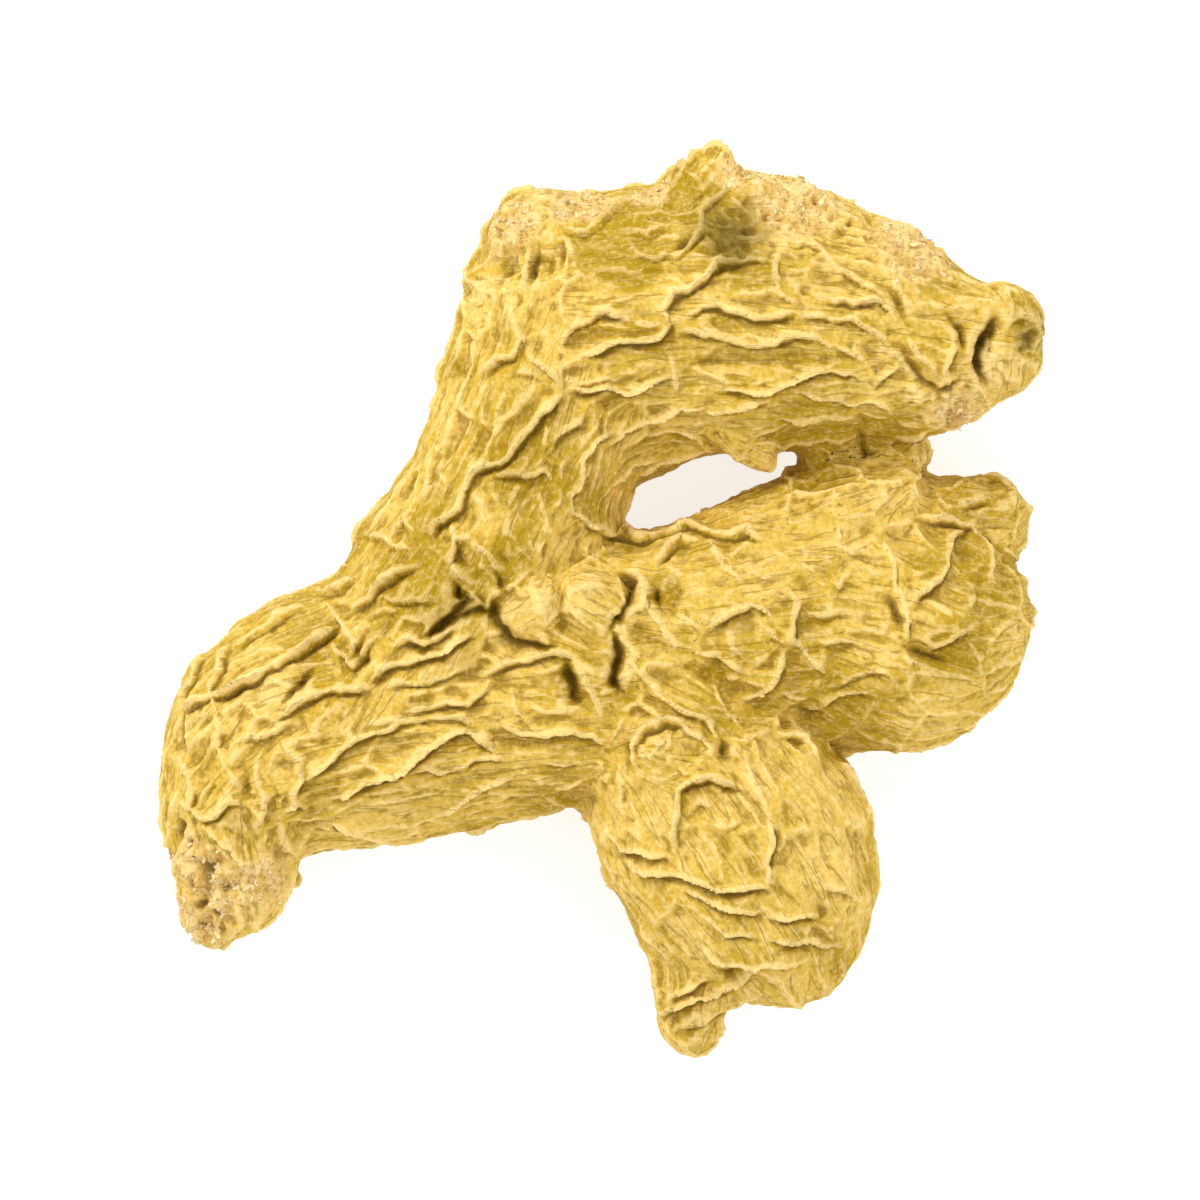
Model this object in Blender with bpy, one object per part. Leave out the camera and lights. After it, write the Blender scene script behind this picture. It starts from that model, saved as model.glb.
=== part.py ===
"""A hand of dried ginger root, grown as one piece: a flattened trunk that forks into blunt fingers, with two buds
in its fork, cut and broken ends, and skin that has dried into a net of narrow crinkled ridges.

Lengths are written in millimetres and turned to metres where a mesh is made. The root lies on z = 0, with the
side that is seen turned up. The limbs' spines and half sizes give the flesh, and the skin's relief is raised
from that flesh by a rule.
"""

import bmesh
import bpy
import numpy as np
from mathutils import Vector, noise

MM = 0.001
SKIN_COLOUR = (0.72, 0.49, 0.16, 1.0)

# Each station of a limb: x, y, z of the spine, half width across it in plan, half height.
LIMBS = {
    "arm": (
        (-4.6, 21.6, 9.6, 6.5, 6.8),
        (0.0, 20.8, 9.4, 9.8, 9.4),
        (8.5, 20.6, 9.6, 11.0, 9.4),
        (19.0, 19.9, 10.2, 10.0, 8.4),
        (27.2, 18.6, 11.0, 7.0, 6.4),
        (29.8, 18.5, 11.0, 5.4, 5.2),
    ),
    "arm_end": (
        (26.6, 13.6, 10.4, 2.9, 3.6),
        (29.8, 14.3, 10.2, 2.3, 3.0),
    ),
    "trunk": (
        (-2.4, 18.6, 9.4, 8.6, 8.6),
        (-6.5, 7.0, 9.8, 9.0, 8.6),
        (-12.0, -3.0, 9.4, 9.2, 8.4),
        (-17.0, -11.0, 8.4, 9.0, 8.0),
    ),
    "left_lobe": (
        (-3.6, -11.4, 8.4, 9.0, 7.8),
        (-14.0, -11.8, 8.2, 10.8, 8.4),
        (-24.0, -13.4, 7.7, 10.6, 8.1),
        (-29.9, -19.8, 7.4, 6.8, 6.6),
        (-29.9, -24.2, 7.4, 5.2, 4.9),
        (-30.7, -27.4, 7.2, 3.9, 3.6),
        (-32.1, -30.3, 7.0, 1.5, 1.8),
    ),
    "web": (
        (0.6, 12.0, 8.6, 6.2, 6.4),
        (9.0, 14.4, 8.8, 5.0, 5.6),
        (17.5, 15.2, 8.6, 3.8, 4.6),
    ),
    "touch": (
        (18.8, 9.2, 6.6, 1.9, 4.2),
        (26.0, 9.2, 6.8, 1.7, 3.8),
    ),
    "fork": (
        (-3.0, -7.0, 9.0, 7.6, 7.8),
        (5.0, -11.0, 8.6, 7.6, 7.8),
    ),
    "middle_finger": (
        (0.5, -3.4, 9.4, 5.9, 6.6),
        (9.0, -4.4, 8.8, 8.0, 8.0),
        (19.0, -3.6, 8.0, 11.2, 8.4),
        (26.0, -5.6, 7.6, 9.6, 7.8),
        (31.2, -4.4, 6.8, 5.4, 5.4),
    ),
    "finger_corner": (
        (19.6, 3.0, 8.6, 5.4, 6.6),
        (24.6, 5.8, 10.2, 2.6, 3.6),
    ),
    "shoulder": (
        (25.0, 3.4, 6.6, 4.4, 5.2),
        (32.2, 3.4, 5.4, 3.9, 4.2),
    ),
    "lower_finger": (
        (4.0, -13.0, 9.2, 6.4, 6.8),
        (9.2, -19.6, 8.6, 10.2, 8.8),
        (12.8, -25.0, 8.2, 10.6, 8.6),
        (14.6, -29.5, 7.6, 7.4, 6.6),
    ),
    "stub": (
        (8.6, -31.0, 6.6, 4.6, 4.4),
        (8.0, -38.0, 5.8, 3.0, 3.0),
    ),
    "peak": (
        (8.6, 28.6, 11.0, 4.6, 4.6),
        (10.0, 34.0, 12.0, 1.2, 1.8),
    ),
    "ledge": (
        (12.8, 30.0, 11.6, 2.6, 3.4),
        (18.8, 28.8, 11.6, 2.1, 3.2),
    ),
    "corner": ((-4.8, 27.0, 11.0, 4.4, 4.6),),
    "torn_scale": (
        (11.6, 11.6, 13.6, 2.2, 1.3),
        (13.2, 9.4, 12.8, 1.5, 1.0),
        (14.2, 8.3, 12.2, 0.8, 0.7),
    ),
    "bud_left": (
        (-6.5, -4.1, 14.4, 2.2, 3.4),
        (-4.9, -3.1, 14.7, 2.4, 3.7),
    ),
    "bud_right": (
        (-0.8, -2.8, 14.6, 2.6, 3.7),
        (1.0, -4.1, 14.3, 2.6, 3.5),
    ),
    "scale_bud": ((5.4, -15.8, 15.4, 2.5, 2.9),),
    "nub": (
        (33.8, 20.4, 12.0, 2.9, 3.6),
        (33.9, 17.5, 11.8, 2.9, 3.6),
    ),
}
JOIN_SOFTNESS = 0.55  # how far the flesh rounds where two limbs meet
STEPS_PER_SPAN = 5  # smoothed spine points from one station to the next

SETTLE_STEPS = 6

# The skin has dried into plates: their width across the grain, and how many times longer they are along it.
PLATES = {
    "arm": (2.9, 3.2),
    "trunk": (2.8, 2.8),
    "left_lobe": (2.7, 3.4),
    "web": (2.3, 3.0),
    "fork": (2.7, 2.0),
    "middle_finger": (2.8, 1.5),
    "shoulder": (2.5, 1.5),
    "lower_finger": (3.7, 1.5),
}
OTHER_PLATES = (2.4, 1.6)
PLATE_SEED = 11
NOISE_SEED = 7
PLATE_TRIES = 12000
PLATE_STEP = 0.2  # how far one plate lies above or below the next
PLATE_SAG = 0.35  # how far a plate's middle has sunk

# A crinkled ridge stands where two plates meet.
RIDGE_HEIGHT = 0.8
RIDGE_WIDTH = 0.55
CROSS_RIDGE_SHARE = 0.6  # how high a ridge across the grain is beside one along it
CRINKLES = ((3.4, 0.75), (1.3, 0.28))  # wave length and reach of the ridges' sideways wander
LUMPS = ((10.0, 0.6), (4.6, 0.3))  # wave length and height of the swellings under the skin

FOLD_HEIGHT = 0.85
FOLD_WIDTH = 0.5
FOLD_LEE = (0.25, -0.5)  # the groove at a fold's foot lies to this side of it
FOLD_GROOVE = 0.45
CREASE_DEPTH = 1.3
CREASE_WIDTH = 0.6
FOLD_CLEARING = 1.2  # how near a fold the net of plates fades out

# Rough places where the skin is scraped or torn: centre, radius, roughness, how far it has sunk.
SCARS = {
    "scraped_corner": ((-8.0, 28.6, 15.0), 3.2, 0.35, 0.2),
    "scraped_edge": ((-1.5, 30.0, 13.0), 3.6, 0.35, 0.1),
    "scraped_notch": ((4.5, 30.6, 13.0), 2.2, 0.3, 0.2),
    "scraped_back": ((16.5, 30.0, 13.0), 5.0, 0.4, 0.1),
    "scraped_slope": ((26.0, 26.4, 14.0), 4.4, 0.35, 0.1),
    "fibre_pit": ((10.8, 27.6, 17.0), 2.6, 0.15, 0.9),
    "nub_eye": ((35.2, 18.9, 15.0), 1.0, 0.1, 0.9),
    "end_crumbs": ((29.4, 13.6, 14.0), 2.2, 0.5, 0.0),
    "torn_tip": ((-32.6, -26.5, 11.0), 4.0, 0.5, 0.1),
    "corner_hollow": ((-8.0, 25.4, 17.0), 1.5, 0.2, 0.8),
    "corner_dent": ((-4.3, 25.4, 18.0), 1.7, 0.2, 0.8),
    "bud_scar": ((5.6, -15.8, 17.0), 1.7, 0.1, 0.2),
    "net_dent": ((10.0, -9.4, 17.0), 1.3, 0.2, 0.4),
    "bud_hollow": ((6.1, -2.6, 17.0), 1.5, 0.1, 0.8),
}

# Folds that stand out most on the side turned up: share of the full height, and their line in plan.
FOLDS = (
    (0.8, ((-3.1, 17.8), (-2.3, 19.1), (-0.9, 20.2), (0.4, 20.9), (1.6, 20.7), (2.9, 20))),
    (1.0, ((-5.8, 17.6), (-4.7, 16.4), (-3.6, 15.5), (-2.9, 14.4))),
    (0.9, ((-2.9, 14.4), (-0.9, 14.4), (0.5, 14.8), (2.2, 14.6), (3.6, 14.8), (5, 15.3), (6.1, 15.7))),
    (0.7, ((-2.9, 14.8), (-1.1, 15.1), (0.5, 15.5), (1.6, 16))),
    (1.0, ((-2.9, 14.2), (-4, 13), (-5, 11.7), (-6.3, 10.3))),
    (1.0, (
        (-1.3, 17.1), (0.4, 17.8), (1.8, 18.4), (3.6, 18.5), (5, 18.7), (5.8, 19.8), (5.6, 21.1),
        (6.5, 22.3), (7.9, 23), (9, 23.8), (9.9, 24.7), (11.3, 25.2), (13, 25.2), (14.6, 25),
    )),
    (1.0, (
        (7.6, 20.3), (8.6, 21.1), (10.3, 21.2), (11.7, 20.9), (13, 20.3), (14, 20.2), (15.3, 20.5),
        (16.6, 21.1),
    )),
    (0.7, (
        (6.3, 19.4), (8.5, 19.1), (10.8, 18.5), (12.6, 18.2), (14.8, 18.4), (16.4, 18.9), (17.8, 18.9),
        (18.9, 18.2), (19.8, 16.9),
    )),
    (0.9, ((14.9, 26.1), (14.9, 24.7), (14.9, 23.4), (15.3, 22.1), (16.4, 21.4))),
    (0.8, (
        (9.5, 14.2), (11.7, 14.6), (13.3, 14.2), (14.8, 14.4), (16.2, 15.1), (17.8, 15.7), (19.4, 16),
        (20.9, 15.7), (22.3, 14.8),
    )),
    (0.8, ((9, 13), (7, 13.1), (5.8, 12.4), (3.6, 11.9), (2.2, 11), (0.9, 9.7))),
    (0.6, ((5.4, 18), (6.1, 16.6), (6.5, 14.8), (7, 13.3))),
    (0.5, ((1.4, 27.9), (3.1, 27.5), (4.1, 27.4), (5.2, 27.9), (6.3, 28.1))),
    (0.7, (
        (2.7, 26.6), (3.4, 25.6), (4.9, 25.2), (6.5, 25.6), (7.7, 26.5), (8.6, 27.7), (8.8, 29.2),
        (9.7, 30.2), (11, 31.1),
    )),
    (0.6, ((-3.2, 27.7), (-1.6, 27.5), (0, 27.9), (1.1, 29), (2.2, 30.6))),
    (0.8, ((-5.6, 27.2), (-5.9, 25.6), (-6.1, 23.8), (-5.8, 22.1))),
    (0.6, ((-2.9, 27.4), (-2.5, 25.7), (-2.5, 24.1))),
    (0.7, ((-7.2, 21.6), (-6.8, 20.2), (-6.3, 18.5), (-6.8, 17.1), (-8.3, 16.7), (-9.5, 15.5))),
    (0.5, ((-7.2, 15.7), (-5.6, 15.7), (-4.1, 15.1))),
    (0.8, (
        (15.5, 26.6), (17.1, 26.8), (18.4, 26.3), (19.3, 25.2), (20.2, 24.1), (21.6, 23.4), (22.9, 22.5),
        (23.9, 21.6),
    )),
    (0.9, ((18.2, 22.1), (19.8, 21.8), (21.6, 21.6), (23, 21.8), (24.1, 21.1), (24.8, 19.8))),
    (0.7, ((16.4, 20.7), (18, 20.5), (19.8, 20.3), (21.2, 20.3), (22.3, 19.6), (23.4, 18.7), (24.7, 17.5))),
    (0.8, ((24.1, 24.3), (24.8, 23), (25.7, 21.6), (26.3, 20.2))),
    (0.7, ((25.2, 19.1), (26.5, 17.6), (27.7, 16.4), (28.8, 15.1))),
    (0.6, ((23.4, 18), (25, 16.9), (26.5, 15.7), (27.7, 14.8))),
    (0.6, ((17.1, 18.7), (18.4, 18.5), (19.8, 18), (21.1, 17.3), (22.5, 16.2))),
    (0.6, ((16.4, 14.2), (18, 13.9), (19.8, 13.5), (21.4, 13.1), (22.7, 13.5), (23.9, 13), (24.7, 12.1))),
    (0.6, ((22.3, 14.2), (23.4, 15.1), (24.5, 16), (25.4, 16.6))),
    (0.6, ((25.2, 13.7), (26.6, 14), (28.3, 13.7))),
    (0.7, ((29.3, 19.4), (29.7, 17.8), (29, 16.2), (29.2, 14.8), (28.8, 13))),
    (0.7, ((33.1, 21.2), (32.8, 19.4), (32.2, 17.6), (32.6, 15.7), (33.5, 14.4))),
    (0.7, ((33.9, 19.2), (34.4, 20.3), (35.3, 20.7), (36.1, 20.1), (36.4, 18.9), (36, 17.7), (35, 17.3))),
    (0.5, ((33.3, 21.9), (34.3, 22.6), (35.4, 22.2))),
    (0.5, ((33.2, 16.6), (34, 15.6), (35, 15.6))),
    (0.5, ((11.2, 23.8), (11, 22.3))),
    (0.6, ((9, 12.6), (10.8, 12.8), (12.6, 13.3), (14.4, 13.7))),
    (0.7, ((14.4, 12.2), (16.2, 12.1), (18.2, 12.1), (19.8, 12.2), (21.2, 11.9))),
    (0.6, ((19.8, 27.9), (20.9, 28.8), (22.1, 28.1))),
    (0.6, ((12.6, 32.4), (14, 30.6), (14.6, 28.8), (15.1, 26.6))),
    (1.1, (
        (-3.6, 13.3), (-4.7, 12.1), (-5.8, 10.8), (-6.8, 9.4), (-7.7, 8.5), (-9, 7.9), (-10.3, 7.7),
        (-10.8, 6.3), (-11.3, 5), (-12.2, 4), (-13.3, 3.1), (-14, 2),
    )),
    (0.7, ((-9, 7), (-7.6, 7.4), (-5.9, 7.4), (-4.5, 7.6), (-3.4, 6.7))),
    (0.9, (
        (1.4, 11), (-0.4, 10.1), (-1.3, 8.6), (-1.4, 7.2), (-2.2, 5.8), (-2, 4.3), (-0.7, 3.2), (0.9, 2.7),
    )),
    (0.7, ((-0.7, 12.6), (-2.2, 11.5), (-3.4, 10.3), (-4, 8.8))),
    (0.9, ((-12.2, 3.2), (-11.7, 1.8), (-12.1, 0.4), (-11.5, -0.9), (-10.6, -1.6))),
    (0.8, ((-10.8, 2.3), (-9.7, 1.1), (-8.6, -0.2), (-7.7, -1.4))),
    (0.6, ((-8.1, 4.5), (-7.4, 2.9), (-6.7, 1.4), (-5.4, 0.2))),
    (0.6, ((-14.2, 2.5), (-13.7, 1.3), (-12.6, 0.5))),
    (0.9, ((-14.8, -0.2), (-16.6, -0.7), (-17.8, -1.6), (-18.9, -2.7), (-20.2, -3.6), (-21.2, -4.5))),
    (1.1, ((-22.5, -3.2), (-21.8, -4.3), (-20.9, -5.2), (-20.2, -6.5), (-20.2, -8.1))),
    (0.9, ((-22.1, -6.3), (-21.4, -7.6), (-20.3, -8.5), (-19.4, -7.4), (-18.7, -6.1))),
    (0.6, ((-19.6, 2.3), (-18, 2.2), (-16.9, 1.4), (-15.7, 1.3))),
    (1.0, (
        (-18.7, -9.7), (-17.6, -8.8), (-16.2, -8.3), (-14.6, -7.7), (-13.1, -7.4), (-11.7, -6.5),
        (-9.9, -5.8),
    )),
    (0.8, ((-17.3, -7), (-15.8, -6.3), (-14.4, -6.7), (-13, -5.9), (-11.2, -5))),
    (0.9, ((-9.4, -9.2), (-8.1, -8.6), (-6.7, -8.1), (-5.2, -7.7), (-3.6, -7.4), (-2.2, -7.6))),
    (1.0, ((-2.2, -7.7), (-1.6, -9), (-0.9, -10.3), (-0.2, -11.5), (0.5, -12.8))),
    (0.8, ((-16.6, -12.2), (-14.4, -11.9), (-12.6, -11.5), (-10.8, -11.7), (-9.7, -10.8), (-8.8, -9.5))),
    (0.7, (
        (-19.8, -13.5), (-18, -13.1), (-16.2, -13), (-14.4, -12.8), (-12.8, -12.6), (-11.2, -12.8),
        (-9.7, -13.5),
    )),
    (0.5, ((-14.2, 10.8), (-13.7, 9), (-14, 6.8), (-14.6, 4.5))),
    (0.5, ((-10.4, 6.5), (-9.7, 4.9), (-9.2, 3.2))),
    (0.5, ((-4.9, 6.1), (-4.5, 4.5), (-4, 2.9), (-3.2, 1.6))),
    (0.6, ((-13.1, 8.1), (-12.6, 6.5), (-12.8, 4.7))),
    (0.6, ((-18.7, -2.7), (-16.9, -3.1), (-15.1, -3.2), (-13, -2.9))),
    (0.6, ((-19.6, -4.7), (-18, -3.8), (-16.2, -3.8))),
    (0.6, ((-23.8, -2.2), (-22.3, -2.3), (-21.1, -1.8), (-19.4, -1.1))),
    (0.5, ((-8.1, -4.7), (-7.2, -6.1), (-5.9, -6.7))),
    (1.0, (
        (-34.6, -12.4), (-32.8, -11.3), (-30.8, -10.8), (-28.8, -9.9), (-27, -8.6), (-25.2, -7.7),
        (-23.8, -6.7), (-22.3, -5.6), (-20.9, -5),
    )),
    (0.9, ((-26.5, -13.1), (-25.4, -12.1), (-24.1, -11.2), (-22.5, -10.8), (-20.7, -10.4), (-18.7, -10.3))),
    (0.7, ((-30.1, -14.9), (-28.3, -14.4), (-26.6, -13.9), (-25.2, -13.1))),
    (0.9, (
        (-24.5, -17.8), (-23.4, -17.1), (-22.3, -16.2), (-21.2, -15.3), (-20, -14.4), (-18.5, -13.9),
        (-17.1, -13.7), (-15.7, -12.8),
    )),
    (1.0, (
        (-22, -19.6), (-20.3, -18.7), (-18.7, -18), (-17.1, -17.5), (-15.8, -16.6), (-14.6, -15.7),
        (-13.3, -14.8), (-12.1, -14.2), (-10.8, -13.9), (-9.7, -14.8), (-8.6, -15.5),
    )),
    (0.8, ((-22.7, -20.5), (-22, -21.6), (-20.5, -22), (-18.7, -22.3), (-16.9, -22.9), (-15.1, -23.4))),
    (0.7, (
        (-15.8, -17.3), (-14.2, -16.9), (-13, -17.3), (-11.7, -16.9), (-10.6, -16.4), (-9, -16),
        (-7.2, -16.4),
    )),
    (0.7, ((-13.5, -21.2), (-12.2, -20.5), (-11.2, -19.8), (-10.1, -18.9), (-8.6, -18.2), (-6.8, -18))),
    (0.8, ((-32.6, -7), (-33.1, -8.8), (-33.7, -10.6), (-34.4, -12.2))),
    (0.8, (
        (-30.6, -6.7), (-31.1, -8.5), (-31.9, -10.4), (-31.5, -12.2), (-31.1, -13.9), (-31.5, -15.3),
        (-30.8, -16.7), (-29.9, -18.2), (-29.5, -19.6),
    )),
    (0.8, ((-28.3, -16.6), (-28.1, -18), (-27.4, -19.3), (-27.5, -20.7), (-28.1, -21.8))),
    (0.9, (
        (-26.6, -14.2), (-25.6, -15.1), (-24.7, -16.4), (-24.5, -17.6), (-25.2, -18.7), (-25, -20),
        (-26.1, -20.9),
    )),
    (0.9, (
        (-34.9, -16.2), (-34, -17.5), (-33.5, -18.9), (-33.8, -20.2), (-32.8, -21.4), (-31.5, -20.7),
        (-30.4, -19.8), (-29.2, -20),
    )),
    (0.7, ((-26.6, -21.2), (-26.1, -22.5), (-25.6, -23.8), (-24.7, -24.8))),
    (0.9, ((-33.1, -21.8), (-31.5, -22.9), (-30.4, -24.1), (-29.3, -25.2), (-28.6, -26.3))),
    (0.7, ((-30.4, -6.8), (-29.2, -6.1), (-27.9, -5.4), (-26.6, -4.3), (-25, -3.8), (-23.4, -3.2))),
    (0.7, ((-34.6, -21.2), (-34, -22.7), (-34.6, -24.3), (-33.8, -25.9))),
    (0.6, ((-27, -18), (-26.1, -19.1), (-26.3, -20.5))),
    (0.6, ((-33.8, -13), (-32.4, -12.8), (-31, -12.6))),
    (0.7, ((-17.6, -10.4), (-15.8, -9.9), (-13.9, -9.7), (-11.9, -9.2), (-10.4, -8.3))),
    (0.6, ((-7.2, -10.8), (-6.5, -12.6), (-5.2, -13.9), (-3.6, -14.4))),
    (0.7, ((-8.1, -13.3), (-6.3, -13.9), (-4.1, -14.2), (-2.2, -14), (-0.4, -14.2), (0.9, -15.3))),
    (0.6, ((-5.4, -16.4), (-3.6, -16.6), (-1.8, -16.4), (-0.5, -17.1))),
    (0.5, ((-18.9, -20), (-16.9, -19.6), (-15.1, -19.3), (-13.3, -18.7))),
    (0.9, ((2.2, -0.5), (3.6, -1.1), (4.1, -2.5), (4, -3.8), (5, -5), (6.1, -6.3), (7, -7.6))),
    (0.9, (
        (-0.7, 2.9), (1.8, 2.3), (4.5, 2.2), (6.3, 2.5), (7.6, 2.9), (9, 2.3), (10.8, 2.3), (12.6, 2.5),
        (14, 2),
    )),
    (0.7, ((4.5, -0.2), (5.8, 0.9), (7, 1.6), (8.5, 1.6))),
    (0.7, ((9, 2.2), (9.9, 0.4), (11.2, -1.1), (12.2, -2.2))),
    (0.9, ((9, -5.4), (10.3, -4.7), (11.5, -4), (12.8, -3.4), (14, -4), (14.6, -5))),
    (1.0, ((16, -2.2), (16.6, -3.2), (16.4, -4.7), (16.2, -6.1), (17.1, -7.2), (18, -8.3), (19.1, -9.2))),
    (0.8, ((12.4, -11.2), (13.7, -10.4), (14.6, -9.7), (15.3, -8.5), (15.8, -7))),
    (0.7, ((14.9, -10.4), (16.4, -11), (17.6, -11.2))),
    (0.6, ((8.1, -7.2), (9.5, -7.6), (10.8, -8.1), (12.2, -8.8))),
    (0.9, ((4.1, -9.7), (5.4, -11.2), (6.7, -12.2), (8.1, -12.8), (9.5, -13.9), (10.3, -15.3))),
    (0.8, ((1.8, -6.1), (2.9, -7.6), (3.2, -9), (4.5, -10.1))),
    (1.1, ((23.8, 1.8), (24.5, 0), (24.7, -1.8), (25.4, -3.2), (25.9, -4.7), (25.7, -6.3))),
    (0.9, ((25.9, -3.2), (27, -2.3), (28.3, -1.6), (29, -0.2), (29.3, 1.4), (30.1, 2.7), (31.1, 3.2))),
    (1.0, ((26.6, 4), (28.4, 3.6), (29.9, 3.2), (31.1, 3.2), (31.9, 1.8), (32.6, 0), (32.9, -1.6))),
    (0.8, ((27.7, 6.5), (28.4, 5), (29.5, 4.1))),
    (0.7, ((29.2, 4.3), (30.4, 4.7), (31.7, 5.2), (32.9, 5.2))),
    (0.7, ((31.3, 7), (33.1, 7), (34.4, 5.8), (34.6, 4.1))),
    (0.8, ((33.5, 1.8), (34.6, 0.7), (35.5, -0.5), (36, -1.8))),
    (0.8, ((26.5, -6.1), (27.9, -6.8), (29.3, -6.5), (30.8, -5.4))),
    (0.7, ((19.1, -10.1), (20.3, -9.9), (21.4, -9.2), (22.7, -8.6), (23.9, -8.8), (24.7, -10.1))),
    (0.7, ((17.6, -12.1), (19.1, -11.3), (20.3, -10.8), (21.8, -10.4), (23.4, -10.8))),
    (0.5, ((19.3, -0.9), (20.2, -1.8), (20.9, -0.5))),
    (0.5, ((21.4, -7.2), (22.1, -8.3), (22, -9.5))),
    (0.5, ((17.1, -4.1), (18.5, -4.3), (20.2, -4.1), (21.4, -4.5))),
    (0.5, ((17.1, -6.1), (18.7, -6.7), (20.3, -6.3), (21.8, -6.7))),
    (0.5, ((19.8, 3.2), (20.2, 1.6), (21.2, 1.1), (22.7, 1.3))),
    (0.5, ((12.6, -0.4), (14, -1.3), (15.7, -0.7))),
    (0.4, ((17.1, 1.4), (17.3, -0.2), (18.4, -1.3))),
    (0.6, ((10.8, -5.4), (11.3, -7), (12.4, -8.1))),
    (0.6, ((13.3, -4.5), (14.4, -5.9), (15.7, -6.7))),
    (1.2, (
        (12.4, -16), (12.8, -17.8), (13.5, -19.4), (14.2, -20.9), (14.6, -22.1), (14.4, -23.6),
        (13.9, -24.8), (14.2, -26.1), (14.9, -27.2),
    )),
    (0.9, (
        (6.5, -23.9), (6.8, -22), (6.7, -20.2), (6.8, -18.7), (7.9, -18), (9.2, -17.6), (10.4, -18.2),
        (11.9, -18.4),
    )),
    (0.9, (
        (3.1, -16.7), (3.2, -14.9), (4, -13.7), (5.4, -13.1), (6.8, -13.3), (8.1, -14.2), (9.2, -15.3),
        (9.7, -16.7),
    )),
    (0.8, ((1.8, -16.6), (2.3, -18.2), (2.2, -19.8), (2.7, -21.4))),
    (0.9, ((0.9, -20.9), (1.4, -22.5), (2.3, -23.6), (3.8, -23.6), (5, -23.9), (6.3, -24.5))),
    (1.0, (
        (2.7, -24.3), (4, -25.4), (5.4, -25.7), (6.8, -25.7), (8.1, -26.1), (9.4, -26.6), (10.4, -27.2),
        (11.7, -27), (13.1, -26.8), (14.6, -27),
    )),
    (0.9, (
        (6.8, -26.8), (8.5, -27.4), (9.5, -28.1), (10.8, -28.4), (11.9, -28.4), (13, -28.8), (14, -28.6),
    )),
    (0.9, ((8.6, -28.8), (9.9, -29.7), (10.8, -30.6), (12.1, -30.8), (13.3, -30.8))),
    (0.9, ((14, -29.2), (15.3, -29.3), (17.1, -29.2), (18.5, -29))),
    (0.8, ((13.9, -30.6), (14.9, -31.1), (16.2, -31.5), (17.6, -31.3), (19.1, -31.5), (20.3, -31.9))),
    (1.0, (
        (8.8, -30.8), (9.4, -32), (10.4, -32.8), (11.7, -33.1), (13, -33.3), (14, -32.9), (15.3, -33.3),
        (16.6, -33.1),
    )),
    (0.9, ((14.4, -13.9), (15.8, -14.4), (16.9, -14.8), (17.6, -15.8), (18.2, -17.3))),
    (0.9, ((19.1, -16.4), (20.3, -17.6), (21.4, -19.3), (22.3, -21.1), (22.9, -22.5))),
    (0.8, ((5.8, -36.4), (7.2, -35.5), (8.6, -34.7), (9.9, -34.2))),
    (0.8, ((4.9, -37.8), (7, -36.7), (8.8, -36), (10.4, -35.3), (11.9, -34.6), (12.8, -33.8))),
    (0.7, ((6.3, -38.9), (8.5, -38.3), (10.4, -37.4), (12.1, -36.4), (13.7, -35.8))),
    (0.6, ((17.3, -18.5), (18.2, -20.2), (19.3, -21.6), (20, -23.2))),
    (0.6, ((15.1, -21.1), (15.5, -22.7), (15.1, -24.1))),
    (0.6, ((17.8, -26.1), (19.3, -26.8), (20.7, -27.4), (22.1, -28.3))),
    (0.6, ((0.4, -23.4), (1.4, -25.2), (2.5, -26.6), (3.2, -28.4))),
    (0.6, ((3.6, -29.3), (5, -30.8), (5.9, -32.4), (6.5, -34.2))),
    (0.6, ((10.8, -14.4), (11.3, -15.7), (12.1, -16.4))),
    (0.5, ((7.6, -20.7), (8.3, -20), (9.5, -20.2))),
    (0.5, ((19.8, -23.4), (20.5, -25.2), (20.9, -27))),
    (0.5, ((9, -21.6), (10.8, -21.8), (12.4, -21.4))),
)

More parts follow.
